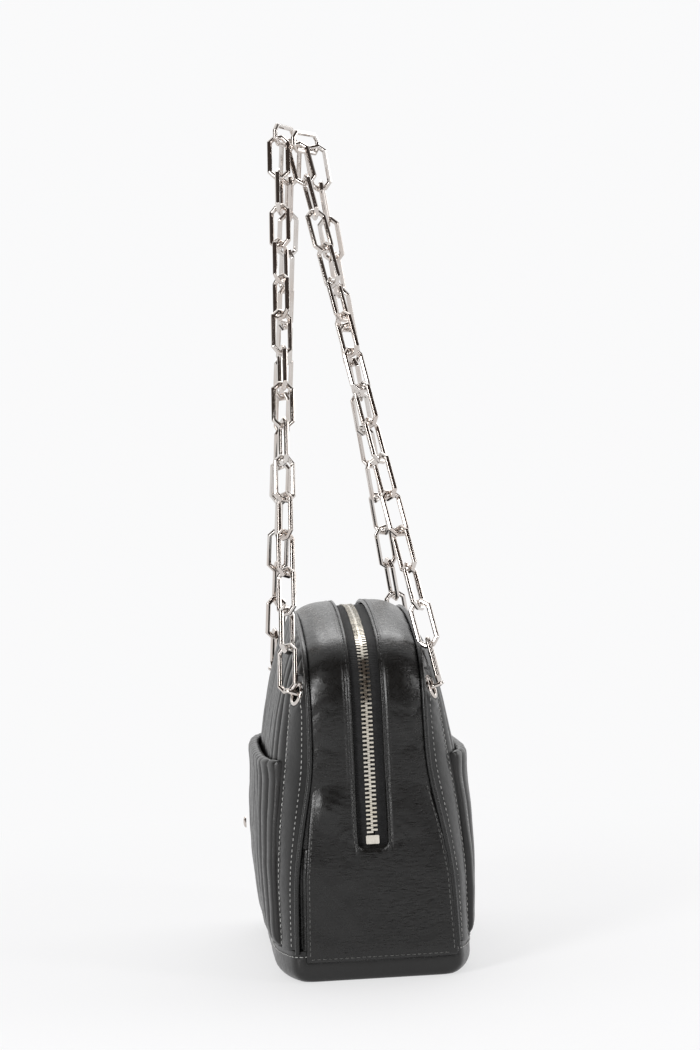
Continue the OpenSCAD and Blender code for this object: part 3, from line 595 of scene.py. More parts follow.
def make_panel(name, back):
    """One quilted wall, with its rows of sewing."""
    sy = 1 if back else -1
    z = np.concatenate([np.arange(BASE_Z + 0.3, 118, 2.4), np.arange(118, 205.4, 0.9)])
    u = np.linspace(-1, 1, 241)
    zz, uu = np.meshgrid(z, u, indexing="ij")
    wide = half_len(zz) - 0.4
    k = unit((zz - BAND_TOP + 1) / 1.6)
    half = PANEL_HALF + (wide - PANEL_HALF) * eased(k)
    # The middle columns stay upright, and the outermost spread to where the wall widens
    core = np.maximum(0.8 * half, np.minimum(105, half - 2.2))
    inner = np.minimum(np.abs(uu) / CORE_SHARE, 1)
    outer = np.maximum(0, np.abs(uu) - CORE_SHARE) / (1 - CORE_SHARE)
    x = np.sign(uu) * (inner * core + outer * (half - core))
    edge = np.minimum(half - np.abs(x), np.maximum(0, 206 - zz) * 1.2)
    rim = 1 - np.exp(-np.maximum(edge, 0) / 1.6)
    out = 0.9 + quilt(x, zz, 4.0) * (0.35 + 0.65 * rim) - 1.5 * (1 - rim)
    out += 0.4 * fbm(x, zz, 0 * x, 11 + back, 2, 40)
    p = press_eyelets(wall_point(x, zz, out, sy))
    ob = shell(name + "_leather", p, 2.0, LEATHER)
    add(ob)
    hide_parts(name)
    lines = []
    zl = np.arange(119, 204, 1.0)
    for g in range(-9, 10):
        xg = g * CHANNEL
        keep = half_len(zl) - 2 > abs(xg)
        if abs(xg) > 107.5:
            keep &= zl > BAND_TOP + 4
        if keep.sum() < 8:
            continue
        zk = zl[keep]
        pk = press_eyelets(wall_point(np.full(len(zk), xg), zk, np.full(len(zk), -2.9), sy))
        nk = np.stack([np.zeros(len(zk)), np.full(len(zk), float(sy)), np.gradient(-wall_y(xg, zk)) * -0.3], axis=1)
        far = np.min([norm(pk - c, axis=1) for c, _ in EYE_CORNERS], axis=0) > 11
        if far.all():
            lines.append((pk, nk))
        else:
            cut = np.nonzero(~far)[0]
            if cut[0] > 6:
                lines.append((pk[:cut[0]], nk[:cut[0]]))
            if len(pk) - cut[-1] > 6:
                lines.append((pk[cut[-1] + 1:], nk[cut[-1] + 1:]))
    stitches(name + "_quilting", lines, THREAD, width=0.5, length=2.0)


make_panel("front_panel", False)
make_panel("back_panel", True)


def make_bands(name, back):
    """Plain padded bands at both ends of a wall, sewn down along both edges."""
    sy = 1 if back else -1
    z = np.concatenate([np.arange(BASE_Z + 0.2, 140, 1.6), np.arange(140, BAND_TOP + 6, 0.8)])
    objs, lines = [], []
    for sx in (1, -1):
        w = np.linspace(0, 1, 33)
        zz, ww = np.meshgrid(z, w, indexing="ij")
        wide = np.minimum(half_len(zz), SEAM[0])
        x = BAND_IN + (wide - BAND_IN - 0.1) * ww
        a = (x - 109.4) / np.maximum(wide - 3.2 - 109.4, 1)
        inside = unit(a)
        puff = 0.75 * np.power(np.maximum(0, 4 * inside * (1 - inside)), 0.55)
        pucker = 0.22 * bell(x, 110.8, 2.2) * np.sin(zz * math.tau / STITCH)
        pucker += 0.15 * bell(x - wide, -4.2, 1.5) * np.sin(zz * math.tau / STITCH + 1)
        turn = unit((wide - x) / 7.0)
        out = 0.1 + puff + pucker - 2.3 * rounded(turn)
        out -= 0.9 * np.exp(-np.maximum(0, x - BAND_IN) / 1.0)
        out += 0.3 * fbm(x, zz, 0 * x + sx * 40, 21 + back, 3, 22) - 1.9 * unit((zz - BAND_TOP + 3) / 3)
        p = press_eyelets(wall_point(x * sx, zz, out, sy))
        ob = shell(name, p, 2.0, BAND)
        bm = bmesh.new()
        bm.from_mesh(ob.data)
        gone = []
        for f in bm.faces:
            c = np.array(f.calc_center_median()) / MM
            for e, n in EYE_CORNERS:
                v = c - e
                if abs(v @ n) < 8 and norm(v - (v @ n) * n) < 7.3:
                    gone.append(f)
                    break
        bmesh.ops.delete(bm, geom=gone, context='FACES')
        bm.to_mesh(ob.data)
        bm.free()
        objs.append(ob)
        zl = np.arange(BASE_Z + 2, BAND_TOP - 1, 1.0)
        for off in (110.0, None):
            xl = np.full(len(zl), off) if off else np.minimum(half_len(zl), SEAM[0]) - 3.9
            pl = press_eyelets(wall_point(xl * sx, zl, np.full(len(zl), 0.5 if off else -0.15), sy))
            slope = (wall_y(xl + 0.5, zl) - wall_y(xl - 0.5, zl))
            nl = np.stack([-slope * sx, np.full(len(zl), float(sy)), 0 * zl], axis=1)
            far = norm(pl - EYE_CORNERS[(0 if sx > 0 else 2) + (0 if sy > 0 else 1)][0], axis=1) > 9.6
            for part in (np.nonzero(far & (zl < EYE[2]))[0], np.nonzero(far & (zl > EYE[2]))[0]):
                if len(part) > 5:
                    lines.append((pl[part], nl[part]))
    band = join(name + "_leather", objs)
    add(band)
    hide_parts(name)
    stitches(name + "_stitching", lines, THREAD)


def join(name, objs):
    """One object from several that share their materials."""
    bm = bmesh.new()
    for o in objs:
        bm.from_mesh(o.data)
    me = bpy.data.meshes.new(name)
    bm.to_mesh(me)
    bm.free()
    for m in objs[0].data.materials:
        me.materials.append(m)
    for o in objs:
        bpy.data.objects.remove(o)
    return bpy.data.objects.new(name, me)


make_bands("front_border", False)
make_bands("back_border", True)


def make_piping(name, back):
    """The corded seam between a wall and the gusset."""
    sy = 1 if back else -1
    pts, _, run = arch(inset(SEAM, -2.2), BASE_Z - 1, 2.0)
    depth = lookup(pts[:, 1], SEAM_DEPTH) - 1.5
    path = np.stack([pts[:, 0], sy * depth, pts[:, 1]], axis=1)
    rad = 1.45 + 0.07 * np.sin(run * math.tau / STITCH)
    v, f = tube(path, rad, sides=12)
    ob = mesh_obj(name + "_cord", v, f, EDGE)
    add(ob)
    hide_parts(name)


make_piping("front_piping", False)
make_piping("back_piping", True)

# ---------- pockets

POCKET_HALF, POCKET_LOW, POCKET_TOP = 104.0, 20.0, 124.0
POCKET_HIGH = POCKET_TOP - POCKET_LOW


def pocket_lift(x, z):
    return 2.6 + 4.6 * (1 - (np.abs(x) / POCKET_HALF) ** 3) * (
        np.maximum(0, z - POCKET_LOW) / POCKET_HIGH) ** 0.6


def make_pocket(name, back):
    """Quilted pocket with a thick rolled rim, open at the top."""
    sy = 1 if back else -1
    v = np.concatenate([np.linspace(0, 0.9, 66), np.linspace(0.9, 1, 12)[1:]])
    u = np.linspace(-1, 1, 225)
    vv, uu = np.meshgrid(v, u, indexing="ij")
    x = POCKET_HALF * uu
    z = POCKET_LOW + POCKET_HIGH * vv
    lift = pocket_lift(x, z)
    swell = 1.5 * bell((1 - vv) * POCKET_HIGH, 0, 7.5)
    side = unit((POCKET_HALF - np.abs(x)) / 3.0)
    tuck = rounded(side)
    foot = np.exp(-vv * POCKET_HIGH / 2.2)
    wobble = 0.4 * fbm(x, z, 0 * x, 31 + back, 2, 38)
    rim = unit((1 - vv) * POCKET_HIGH / 5.0)
    outer = lift + 0.7 + swell + quilt(x, z, 3.2) * (0.45 + 0.55 * rim) * side - 1.1 * tuck - 2.0 * foot + wobble
    inner = np.maximum(0.25, lift - 3.0) - 0.8 * swell * (lift > 4.5) + 0.3 * wobble * (lift > 4)
    inner = np.minimum(inner, outer - 1.4)
    inner = np.maximum(inner, 0.15)
    rows_o = wall_point(x, z, outer, sy)
    rows_i = wall_point(x, z, inner, sy)
    mid = (outer[-1] + inner[-1]) / 2
    r = (outer[-1] - inner[-1]) / 2
    roll = []
    for a in np.linspace(0, math.pi, 9)[1:-1]:
        dip = 1 + 0.25 * quilt(x[-1], z[-1], 1.0)
        roll.append(wall_point(x[-1], z[-1] + np.minimum(r, 2.6) * math.sin(a) * dip, mid + r * math.cos(a), sy))
    rings = np.concatenate([rows_o, np.array(roll), rows_i[::-1]])
    rows, cols, _ = rings.shape
    verts = rings.reshape(-1, 3)
    faces = list(grid_faces(rows, cols, 0, flip=not back))
    for j in range(cols - 1):
        q = (j, j + 1, (rows - 1) * cols + j + 1, (rows - 1) * cols + j)
        faces.append(q if not back else q[::-1])
    for c in (0, cols - 1):
        for i in range(rows // 2):
            q = (i * cols + c, (i + 1) * cols + c, (rows - 2 - i) * cols + c, (rows - 1 - i) * cols + c)
            if len(set(q)) == 4:
                faces.append(q if (c == 0) == back else q[::-1])
    ob = mesh_obj(name + "_leather", verts, faces, LEATHER)
    ob.data.set_sharp_from_angle(angle=math.radians(75))
    add(ob)
    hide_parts(name)
    lines = []
    zl = np.arange(POCKET_LOW + 3, POCKET_TOP - 4, 1.0)
    for g in range(-7, 8):
        xl = np.full(len(zl), g * CHANNEL)
        sw = 1.5 * bell(zl, POCKET_TOP, 7.5)
        pl = wall_point(xl, zl, pocket_lift(xl, zl) - 2.35 + sw, sy)
        nl = np.stack([0 * zl, np.full(len(zl), float(sy)), 0 * zl], axis=1)
        lines.append((pl, nl))
    for xe in (-POCKET_HALF + 3.4, POCKET_HALF - 3.4):
        xl = np.full(len(zl), xe)
        pl = wall_point(xl, zl, pocket_lift(xl, zl) + 0.2, sy)
        nl = np.stack([0 * zl + np.sign(xe) * 0.5, np.full(len(zl), float(sy)), 0 * zl], axis=1)
        lines.append((pl, nl))
    stitches(name + "_quilting", lines, THREAD, width=0.5, length=2.0)


make_pocket("front_pocket", False)
make_pocket("back_pocket", True)

# ---------- base

BASE_SEWN = 15.2  # height of the base's stitching


def base_outline(share, n=440):
    """Closed plan of the base at one height, with its corners softened."""
    half = 128.0 - 4.0 * share
    xs = np.linspace(-1, 1, 61) * half
    y = wall_y(xs * (127.0 / half), BASE_Z) - 7.0 * share
    loop = np.concatenate([np.stack([xs, -y], 1), np.stack([xs[::-1], y[::-1]], 1)])
    loop = np.concatenate([loop, loop[:1]])
    d = np.concatenate([[0], np.cumsum(norm(np.diff(loop, axis=0), axis=1))])
    s = np.linspace(0, d[-1], n, endpoint=False)
    p = np.stack([np.interp(s, d, loop[:, 0]), np.interp(s, d, loop[:, 1])], 1)
    k = np.ones(5) / 5
    for _ in range(2):
        p = np.concatenate([p[-2:], p, p[:2]])
        p = np.stack([np.convolve(p[:, a], k, mode="valid") for a in (0, 1)], 1)
    return p


def make_base():
    """The moulded base, with its row of sewing."""
    rings = []
    for z in (18.6, 18.2, 17, 15, 12.5, 10, 8, 6, 4.5, 3, 1.8, 0.9, 0.3, 0.0):
        share = rounded(min(z, 9) / 9)
        p = base_outline(share)
        c = 0.35 * bell(z, BASE_SEWN, 1.2)
        nudge = 0.3 * fbm(p[:, 0], p[:, 1], 0 * p[:, 0] + z, 51, 2, 30) * min(1, z / 6) - c
        nrm = p / np.maximum(norm(p, axis=1, keepdims=True), 1)
        rings.append(np.concatenate([p + nrm * nudge[:, None], np.full((len(p), 1), z)], 1))
    last = rings[-1][:, :2]
    for k in (0.93, 0.75, 0.5, 0.25, 0.06):
        rings.append(np.concatenate([last * np.array([k if k > 0.3 else k + 0.1, k]), np.zeros((len(last), 1))], 1))
    n = len(last)
    first = np.concatenate([rings[0][:, :2] * 0.975, np.full((n, 1), 18.0)], 1)
    low = np.concatenate([rings[0][:, :2] * 0.94, np.full((n, 1), 3.2)], 1)
    rings = [np.concatenate([low[:, :2] * 0.1, np.full((n, 1), 3.2)], 1), low, first] + rings
    verts = np.concatenate(rings)
    faces = [f[::-1] for f in loft_faces(len(rings), n)]
    faces.append(tuple(range(n)))
    faces.append(tuple(range((len(rings) - 1) * n, len(rings) * n))[::-1])
    ob = mesh_obj("base_panel_leather", verts, faces, BASE)
    add(ob)
    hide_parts("base_panel")
    p = base_outline(0.0)
    p = np.concatenate([p, p[:1]])
    nrm = p / norm(p, axis=1, keepdims=True)
    line = np.concatenate([p * 1.001, np.full((n + 1, 1), BASE_SEWN)], 1)
    stitches("base_stitching", [(line, np.concatenate([nrm, 0 * nrm[:, :1]], 1))], THREAD)


make_base()

# ---------- ends and zip

STRIP_LOW = 77.0
GAP = 8.4
ZIP_SEAM = 10.3  # the sewing beside the zip
PATCH_LOW, PATCH_TOP = 11.2, 118.0
SLOT_HALF, SLOT_LOW = 8.6, 79  # the cut-out round the zip's end, above its rounded foot


def gusset_half(z):
    return lookup(z, SEAM_DEPTH) - 3.8


def zip_hem(y):
    """The turned edge beside the zip, with the groove of its seam."""
    return 0.7 * bell(y, 9.3, 0.5) + 0.35 * bell(y, 12.2, 0.8) - 0.28 * bell(y, ZIP_SEAM, 0.8)


def make_strip(name, sy):
    """The leather on one side of the zip, slack and creased where it turns down."""
    low = 60.0
    pts, nrm, run = arch(ZIP, low, 1.5)
    e_pts, _, _ = arch(inset(SEAM, -1.6), low, 1.5)
    m = len(pts)
    idx = np.linspace(0, len(e_pts) - 1, m)
    e_pts = np.stack([np.interp(idx, np.arange(len(e_pts)), e_pts[:, k]) for k in (0, 1)], 1)
    u = np.concatenate([[-0.012, 0.0, 0.01, 0.03], np.linspace(0.06, 1, 40)])
    rr, uu = np.meshgrid(np.arange(m), u, indexing="ij")
    uc = unit(uu)
    far_y = gusset_half(e_pts[:, 1]) + 0.9
    dip = uc ** 3.4
    x = pts[rr, 0] + (e_pts[rr, 0] - pts[rr, 0]) * dip
    z = pts[rr, 1] + (e_pts[rr, 1] - pts[rr, 1]) * dip
    y = GAP + (far_y[rr] - GAP) * uc
    turned = unit(uu / 0.06)
    level = -0.75 * rounded(turned) - 0.9 * (uu < 0)
    end = np.exp(-np.maximum(0, np.minimum(rr, m - 1 - rr) * 1.5 - 14) / 60)
    folds = 0.5 * fbm(x, y * 1.6, z * 1.1, 61 + sy, 3, 28) * uc + 0.1 * fbm(x, y * 0.7, z * 1.8, 63 + sy, 3, 8) * uc
    slack = z - 152 + 0.5 * y + 1.6 * fbm(x, y, z, 65, 2, 13)
    folds += 0.8 * bell(z, 150, 14) * bell(y, 20, 9)
    folds += 0.16 * np.sin(slack * math.tau / 4.4) * bell(z, 153, 11) * bell(y, 24, 8)
    on_end = unit((178 - z) / 20) * unit((np.abs(x) - 100) / 15)
    creases = -0.5 * on_end * uc * np.maximum(0, np.sin(z / 3.4 + 2.2 * fbm(x, y, z, 67 + sy, 2, 26))) ** 3
    covered = unit((z - 108) / 7)
    level += zip_hem(y) + (folds + creases) * (0.5 + 0.5 * end) * unit((z - 117) / 9) - 0.5 * (1 - covered)
    p = np.stack([x + nrm[rr, 0] * level, sy * y, z + nrm[rr, 1] * level], axis=-1)
    ob = shell(name + "_leather", p, 1.9, GUSSET)
    add(ob)
    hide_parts(name)
    top = run > 20
    keep = top & top[::-1]
    row = np.nonzero(keep)[0]
    line = np.stack([pts[row, 0] - nrm[row, 0] * 0.18, np.full(len(row), sy * ZIP_SEAM),
                     pts[row, 1] - nrm[row, 1] * 0.18], 1)
    nl = np.stack([nrm[row, 0], 0 * row, nrm[row, 1]], 1)
    stitches(name + "_stitching", [(line, nl)], DARK_THREAD)


make_strip("zip_strip_front", -1)
make_strip("zip_strip_back", 1)


def make_tape(name, sy):
    """Zip tape with a rolled inner edge."""
    pts, nrm, run = arch(inset(ZIP, 3.0), 68.0, 1.2)
    y = np.array([1.7, 1.9, 2.3, 3.2, 4.6, 6.2, 8.0, 10.0, 12.4])
    out = np.array([-0.3, 0.12, 0.18, 0.0, 0.0, 0.0, 0.0, 0.0, 0.0])
    rr, jj = np.meshgrid(np.arange(len(pts)), np.arange(len(y)), indexing="ij")
    p = np.stack([pts[rr, 0] + nrm[rr, 0] * out[jj], sy * y[jj], pts[rr, 1] + nrm[rr, 1] * out[jj]], axis=-1)
    ob = shell(name + "_cloth", p, 1.0, TAPE)
    at = ob.data.attributes.new("along", 'FLOAT', 'POINT')
    at.data.foreach_set("value", np.tile(run[rr].ravel(), 2))
    add(ob)
    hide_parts(name)


make_tape("zip_tape_front", -1)
make_tape("zip_tape_back", 1)


def make_gusset(name, sx):
    """The lower end of the bag, under its overlay."""
    z = np.linspace(18.3, STRIP_LOW, 30)
    w = np.linspace(-1, 1, 41)
    zz, ww = np.meshgrid(z, w, indexing="ij")
    y = ww * (gusset_half(zz) + 0.9)
    edge = unit((1 - np.abs(ww)) / 0.08)
    x = ZIP[0] - 0.3 - 1.92 * (1 - edge) ** 2 + 0.3 * fbm(zz * 0, y, zz, 71, 3, 20) * edge
    x -= 2.3 * bell(np.abs(y) - gusset_half(zz), -0.4, 1.7) * unit((STRIP_LOW - zz) / 35)
    p = np.stack([sx * np.minimum(x, ZIP[0]), y, zz], axis=-1)
    ob = shell(name + "_leather", p, 1.8, GUSSET)
    add(ob)
    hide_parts(name)


def make_patch(name, sx):
    """Overlay sewn on the lower gusset, cut out round the end of the zip."""
    def edge_y(z, sy):
        if sy < 0:
            return np.interp(z, (11, 20, 60, 90, 118), (41.3, 41.1, 39.8, 36.6, 33.2))
        return np.interp(z, (11, 20, 60, 90, 118), (46.2, 46.0, 44.2, 39.4, 33.2))

    def mouth(y):
        return 75.6 + 3.4 * np.abs(y / SLOT_HALF) ** 6

    bm = bmesh.new()

    def patch_x(y, z):
        rim = np.where(y < 0, edge_y(z, -1), edge_y(z, 1)) - np.abs(y)
        k = np.minimum(rim, z - PATCH_LOW)
        zip_k = np.where(z > SLOT_LOW, np.abs(y) - 8.5, 9)
        roll = unit(np.minimum(k, zip_k) / 1.7)
        soft = 0.28 * fbm(0 * y, y, z, 75, 3, 26) + 0.07 * fbm(0 * y, y * 0.8, z * 1.5, 76, 3, 7)
        pull = np.hypot(np.abs(y) - SLOT_HALF, z - 76) + 1.5 * fbm(0 * y, y, z, 77, 2, 14)
        soft += 0.16 * np.sin(pull * math.tau / 5.2) * bell(pull, 0, 14)
        slack = (z - 104) + 0.35 * (y + 30) + 1.8 * fbm(0 * y, y, z, 78, 2, 12)
        soft += 1.3 * bell(y, -24, 8) * bell(z, 100, 9)
        soft += 0.5 * bell(y, 22, 9) * bell(z, 96, 12)
        soft += 0.2 * np.sin(slack * math.tau / 4.6) * bell(z, 103, 8) * bell(y, -24, 11)
        soft -= 0.5 * bell(z - 75, 0.3 * np.abs(y), 2.2) * bell(np.abs(y), 9, 9)
        hem = zip_hem(np.abs(y)) * (z > 76)
        u = unit((np.abs(y) - GAP) / (gusset_half(z) + 0.9 - GAP))
        fall = (ZIP[0] - SEAM[0] - 1.6) * u ** 3.4 * unit((z - 70) / 45) + 0.9 * u ** 4
        flush = eased(unit((PATCH_TOP - z) / 62))
        low = unit((20 - z) / 9)
        return (129.95 - fall + 1.75 * flush - 0.9 * rounded(roll)
                + soft * unit(k / 6) * unit((PATCH_TOP - 1 - z) / 8) + hem - 0.7 * low ** 2)

    def grid(ys, zs):
        rows, cols = ys.shape
        xs = patch_x(ys, zs)
        vs = [[bm.verts.new((sx * xs[i, j], ys[i, j], zs[i, j])) for j in range(cols)] for i in range(rows)]
        for i in range(rows - 1):
            for j in range(cols - 1):
                q = (vs[i][j], vs[i][j + 1], vs[i + 1][j + 1], vs[i + 1][j])
                bm.faces.new(q if sx > 0 else q[::-1])

    a = np.linspace(0, 1, 26)
    side_z = PATCH_LOW + (SLOT_LOW - PATCH_LOW) * a
    up_z = SLOT_LOW + (PATCH_TOP - SLOT_LOW) * a[1:]
    across = np.concatenate([np.linspace(0, 0.1, 8)[:-1], np.linspace(0.1, 0.94, 20), (0.97, 0.985, 1)])
    for sy in (1, -1):
        zc = np.concatenate([side_z, up_z])
        wz, wu = np.meshgrid(zc, across, indexing="ij")
        y = SLOT_HALF + (edge_y(wz, sy) - SLOT_HALF) * wu
        if sy > 0:
            grid(y, wz)
        else:
            grid(-y[:, ::-1], wz)
    am, yy = np.meshgrid(a, np.linspace(-SLOT_HALF, SLOT_HALF, 17), indexing="ij")
    grid(yy, PATCH_LOW + (mouth(yy) - PATCH_LOW) * am)
    bmesh.ops.remove_doubles(bm, verts=bm.verts, dist=0.05)
    for v in bm.verts:
        v.co *= MM
    me = bpy.data.meshes.new(name)
    bm.to_mesh(me)
    bm.free()
    me.materials.append(GUSSET)
    me.polygons.foreach_set("use_smooth", [True] * len(me.polygons))
    ob = bpy.data.objects.new(name + "_leather", me)
    thick = ob.modifiers.new("leather", 'SOLIDIFY')
    thick.thickness = 0.0013
    thick.offset = -1
    add(ob)
    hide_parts(name)
    lines = []
    zs = np.arange(PATCH_LOW + 4, PATCH_TOP - 1, 1.0)
    for sy in (1, -1):
        y = sy * (edge_y(zs, sy) - 2.2)
        lines.append((np.stack([sx * (patch_x(y, zs) - 0.02), y, zs], 1), np.tile([sx, 0, 0], (len(zs), 1))))
        zi = np.arange(78, PATCH_TOP, 1.0)
        yi = np.full(len(zi), sy * 10.7)
        lines.append((np.stack([sx * (patch_x(yi, zi) + 0.1), yi, zi], 1), np.tile([sx, 0, 0], (len(zi), 1))))
    y = np.arange(-edge_y(PATCH_LOW, -1) + 2.4, edge_y(PATCH_LOW, 1) - 2.2, 1.0)
    zz = np.full(len(y), PATCH_LOW + 2.6)
    lines.append((np.stack([sx * (patch_x(y, zz) - 0.02), y, zz], 1), np.tile([sx, 0, 0], (len(y), 1))))
    stitches(name + "_stitching", lines, GREY_THREAD, width=0.55)


for side, sx in ENDS:
    make_gusset(side + "_gusset", sx)
    make_patch(side + "_gusset_patch", sx)

# ---------- inside

def make_lining():
    """Loose cloth bag with soft vertical folds."""
    n = 160
    a = np.linspace(0, math.tau, n, endpoint=False)
    k = 2 / 5
    rings = []
    for z, hx, hy in ((6.5, 104, 34), (10, 114, 40), (35, 117, 41), (60, 119, 41), (90, 118.6, 37), (120, 118, 33),
                      (146, 114, 25), (170, 104, 17)):
        fold = 1 - 0.012 * (1 + np.sin(a * 23 + z * 0.03))
        rings.append(np.stack([hx * fold * np.sign(np.cos(a)) * np.abs(np.cos(a)) ** k,
                               hy * fold * np.sign(np.sin(a)) * np.abs(np.sin(a)) ** k, np.full(n, z)], 1))
    full = [rings[0] * np.array([0.05, 0.05, 1]), rings[0] * np.array([0.6, 0.6, 1])] + rings
    verts = np.concatenate(full)
    faces = [tuple(range(n))[::-1]] + loft_faces(len(full), n)
    ob = mesh_obj("lining_cloth", verts, faces, CLOTH)
    thick = ob.modifiers.new("cloth", 'SOLIDIFY')
    thick.thickness = 0.0006
    thick.offset = -1
    add(ob)
    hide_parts("lining")


make_lining()


def bevelled(ob, width, segments=2, angle=25):
    b = ob.modifiers.new("edges", 'BEVEL')
    b.width = width
    b.segments = segments
    b.limit_method = 'ANGLE'
    b.angle_limit = math.radians(angle)
    b.harden_normals = True
    for poly in ob.data.polygons:
        poly.use_smooth = True


def make_tabs():
    """Folded leather tabs that hold the rings inside the bag."""
    for name in [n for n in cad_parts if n.startswith("anchor_tab")]:
        ob = bpy.data.objects.new(name + "_leather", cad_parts[name].data.copy())
        ob.data.materials.clear()
        ob.data.materials.append(BAND)
        bevelled(ob, 0.0004)
        add(ob)
        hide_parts(name)


make_tabs()

# ---------- eyelets and chains

def make_eyelets():
    """Rolled eyelets that lie in the leather at its own slant."""
    prof = ((4.75, -2.9), (4.65, -0.2), (4.75, 0.5), (5.1, 0.9), (5.6, 1.1), (6.2, 1.0), (6.65, 0.6), (6.9, 0.1),
            (6.95, -0.5), (5.4, -0.6), (5.4, -2.9))
    n = 72
    for back, sy in SIDES:
        for end, sx in ENDS:
            c = EYE * np.array([sx, sy, 1])
            ax = EYE_N * np.array([sx, sy, 1])
            u = np.cross(ax, [0, 0, 1.0])
            u /= norm(u)
            w = np.cross(ax, u)
            verts = [c + ax * (h - 0.25) + (u * math.cos(t) + w * math.sin(t)) * r
                     for r, h in prof for t in np.linspace(0, math.tau, n, endpoint=False)]
            name = "eyelet_" + back + "_" + end
            ob = mesh_obj(name + "_rim", verts, loft_faces(len(prof), n, closed=True), NICKEL)
            add(ob)
            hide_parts(name)


def make_rings():
    """Oval rings through the eyelets, drawn up a little by the chains."""
    for back, sy in SIDES:
        for end, sx in ENDS:
            c = EYE * np.array([sx, sy, 1])
            out = EYE_N * np.array([sx, sy, 0])
            out /= norm(out)
            across = np.cross(out, [0, 0, 1.0])
            out = out * math.cos(0.38) + np.array([0, 0, math.sin(0.38)])
            a = np.linspace(0, math.tau, 72, endpoint=False)
            along = np.sign(np.cos(a)) * np.abs(np.cos(a)) ** 0.75 * 8.6 - 1.6
            wide = np.sin(a) * 3.25
            path = c + along[:, None] * out + wide[:, None] * across
            verts, faces = tube(path, 1.2, 14, closed=True)
            name = "anchor_ring_" + back + "_" + end
            ob = add(mesh_obj(name + "_wire", verts, faces, NICKEL))
            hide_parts(name)


LINK_LEN, LINK_W, BAR_T, LINK_CUT, BAR_CUT = 29.6, 14.2, 3.0, 4.3, 0.95
FOOTS = {("front", "near"): (115.3, -44.0, 167.3), ("front", "far"): (115.3, -42.6, 167.3),
         ("back", "near"): (115.3, -44.0, 167.3), ("back", "far"): (115.3, -45.6, 167.3)}
HEAD_X, HEAD_DROP = 7.9, 1.9
HEADS = {"front": (-24.8, 501.7, 4.2), "back": (-12.0, 497.2, 6.0)}  # depth, height, spread between near and far
ROLLS = {
    ("front", "near"): (50, 52, 48, 42, 34, 24, 14, 8, 14, 26, 38, 50, 62, 76, 88),
    ("front", "far"): (-12, -24, -12, 2, 14, 26, 38, 50, 60, 50, 44, 56, 68, 80, 92),
    ("back", "near"): (8, 20, 34, 48, 60, 50, 38, 48, 60, 48, 38, 50, 64, 78, 90),
    ("back", "far"): (-12, 2, 16, 28, 42, 54, 44, 32, 20, 32, 46, 58, 68, 80, 92),
}


def link_mesh():
    """One link: an octagon of square bar with cut edges, mitred at its corners."""
    hw, hl = (LINK_W - BAR_T) / 2, (LINK_LEN - BAR_T) / 2
    cut = LINK_CUT - BAR_T * (1 - math.sqrt(2) / 2)
    path = np.array([[hw, hl - cut], [hw - cut, hl], [cut - hw, hl], [-hw, hl - cut],
                     [-hw, cut - hl], [cut - hw, -hl], [hw - cut, -hl], [hw, cut - hl]])
    h, c = BAR_T / 2, BAR_T / 2 - BAR_CUT
    section = [(h, -c), (h, c), (c, h), (-c, h), (-h, c), (-h, -c), (-c, -h), (c, -h)]
    verts = []
    for i in range(8):
        b, a = path[i] - path[i - 1], path[(i + 1) % 8] - path[i]
        n0 = np.array([b[1], -b[0]]) / norm(b)
        n1 = np.array([a[1], -a[0]]) / norm(a)
        m = (n0 + n1) / (1 + n0 @ n1)
        verts += [(path[i][0] + m[0] * q[0], q[1], path[i][1] + m[1] * q[0]) for q in section]
    return np.array(verts), loft_faces(8, 8, closed=True)


def place_links(name, frames, body, node_name):
    """Links as one piece, each at a centre with three axes."""
    lv, lf = link_mesh()
    verts, faces = [], []
    for c, u, v, d in frames:
        k = len(verts) * len(lv)
        verts.append(c + lv[:, :1] * u + lv[:, 1:2] * v + lv[:, 2:] * d)
        faces += [tuple(k + i for i in f) for f in lf]
    ob = mesh_obj(name, np.concatenate(verts), faces, NICKEL)
    bevelled(ob, 0.0003, 2, 20)
    add(ob, body)
    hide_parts(node_name)


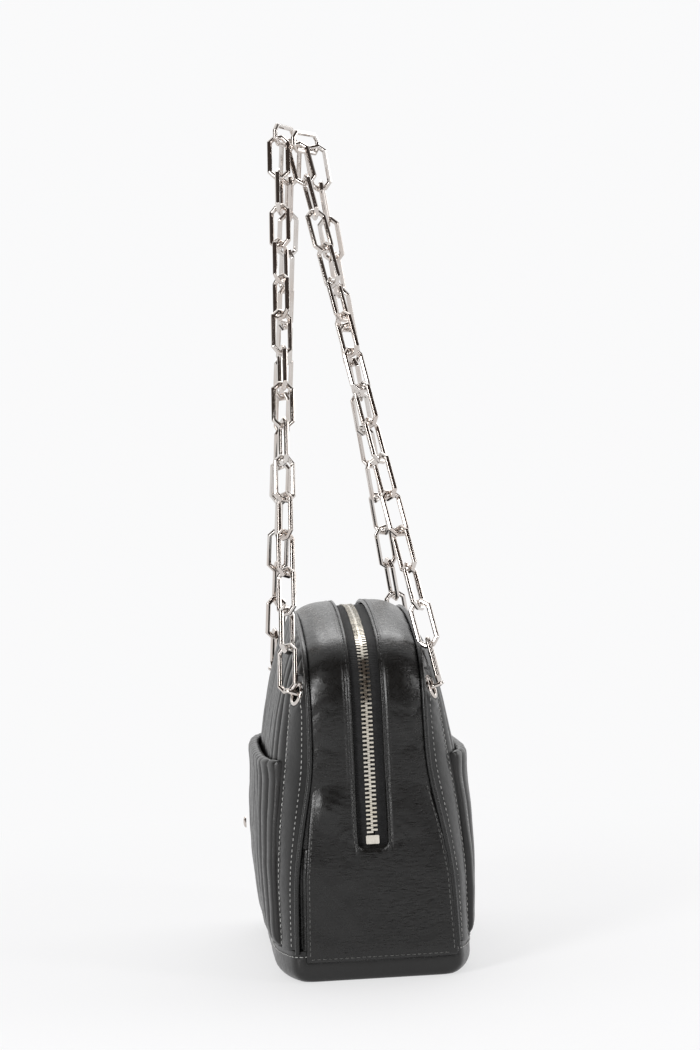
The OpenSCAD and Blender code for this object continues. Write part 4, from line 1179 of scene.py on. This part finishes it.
def make_chains():
    """Links that hang a little unevenly from foot to head, each turned about a quarter from the last."""
    thirds = ("low", "mid", "high")
    for back, sy in SIDES:
        y, z, spread = HEADS[back]
        for end, sx in ENDS:
            foot = np.array(FOOTS[back, end]) * np.array([sx, sy, 1])
            run = np.array([sx * HEAD_X, y - sx * spread, z]) - foot
            d = run / norm(run)
            e1 = np.array([1.0, 0, 0]) - d[0] * d
            e1 /= norm(e1)
            e2 = np.cross(d, e1)
            pitch = (norm(run) - (LINK_LEN - BAR_T)) / 14
            frames = []
            for k in range(15):
                roll = math.radians(90 * k + sx * sy * ROLLS[back, end][k])
                u = e1 * math.cos(roll) + e2 * math.sin(roll)
                v = -e1 * math.sin(roll) + e2 * math.cos(roll)
                frames.append((foot + d * ((LINK_LEN - BAR_T) / 2 + k * pitch), u, v, d))
            for t, third in enumerate(thirds):
                node_name = back + "_chain_" + end + "_" + third
                place_links(node_name + "_links", frames[5 * t:5 * t + 5], back + "_handle_" + third, node_name)
        turn = math.atan2(-2 * spread, 2 * HEAD_X)
        d = np.array([math.cos(turn), math.sin(turn), 0])
        frames = [(np.array([0, y, z + HEAD_DROP]), np.array([0, 0, 1.0]), np.array([-d[1], d[0], 0]), d)]
        place_links(back + "_chain_top_link", frames, back + "_handle_high", back + "_chain_top")


make_eyelets()
make_rings()
make_chains()

# ---------- rigid pieces that keep their CAD shape

REPLACED = ("lining", "panel", "border", "piping", "pocket", "gusset", "strip", "tape", "anchor_tab", "eyelet",
            "anchor_ring", "chain")
ROUND = ("eyelet_washers", "pocket_stud")


def finish_metal():
    for name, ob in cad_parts.items():
        if name not in ROUND and any(k in name for k in REPLACED):
            continue
        if name == "base_board":
            mat, width = BOARD, 0.0004
        elif "zip" in name:
            mat, width = CHAMPAGNE, (0.00012 if "teeth" in name else 0.0003)
        else:
            mat, width = NICKEL, 0.00015
        for s in ob.material_slots:
            s.material = mat
        if name in ROUND:
            for poly in ob.data.polygons:
                poly.use_smooth = True
            ob.data.set_sharp_from_angle(angle=math.radians(40))
        else:
            bevelled(ob, width, 1, 30)


finish_metal()
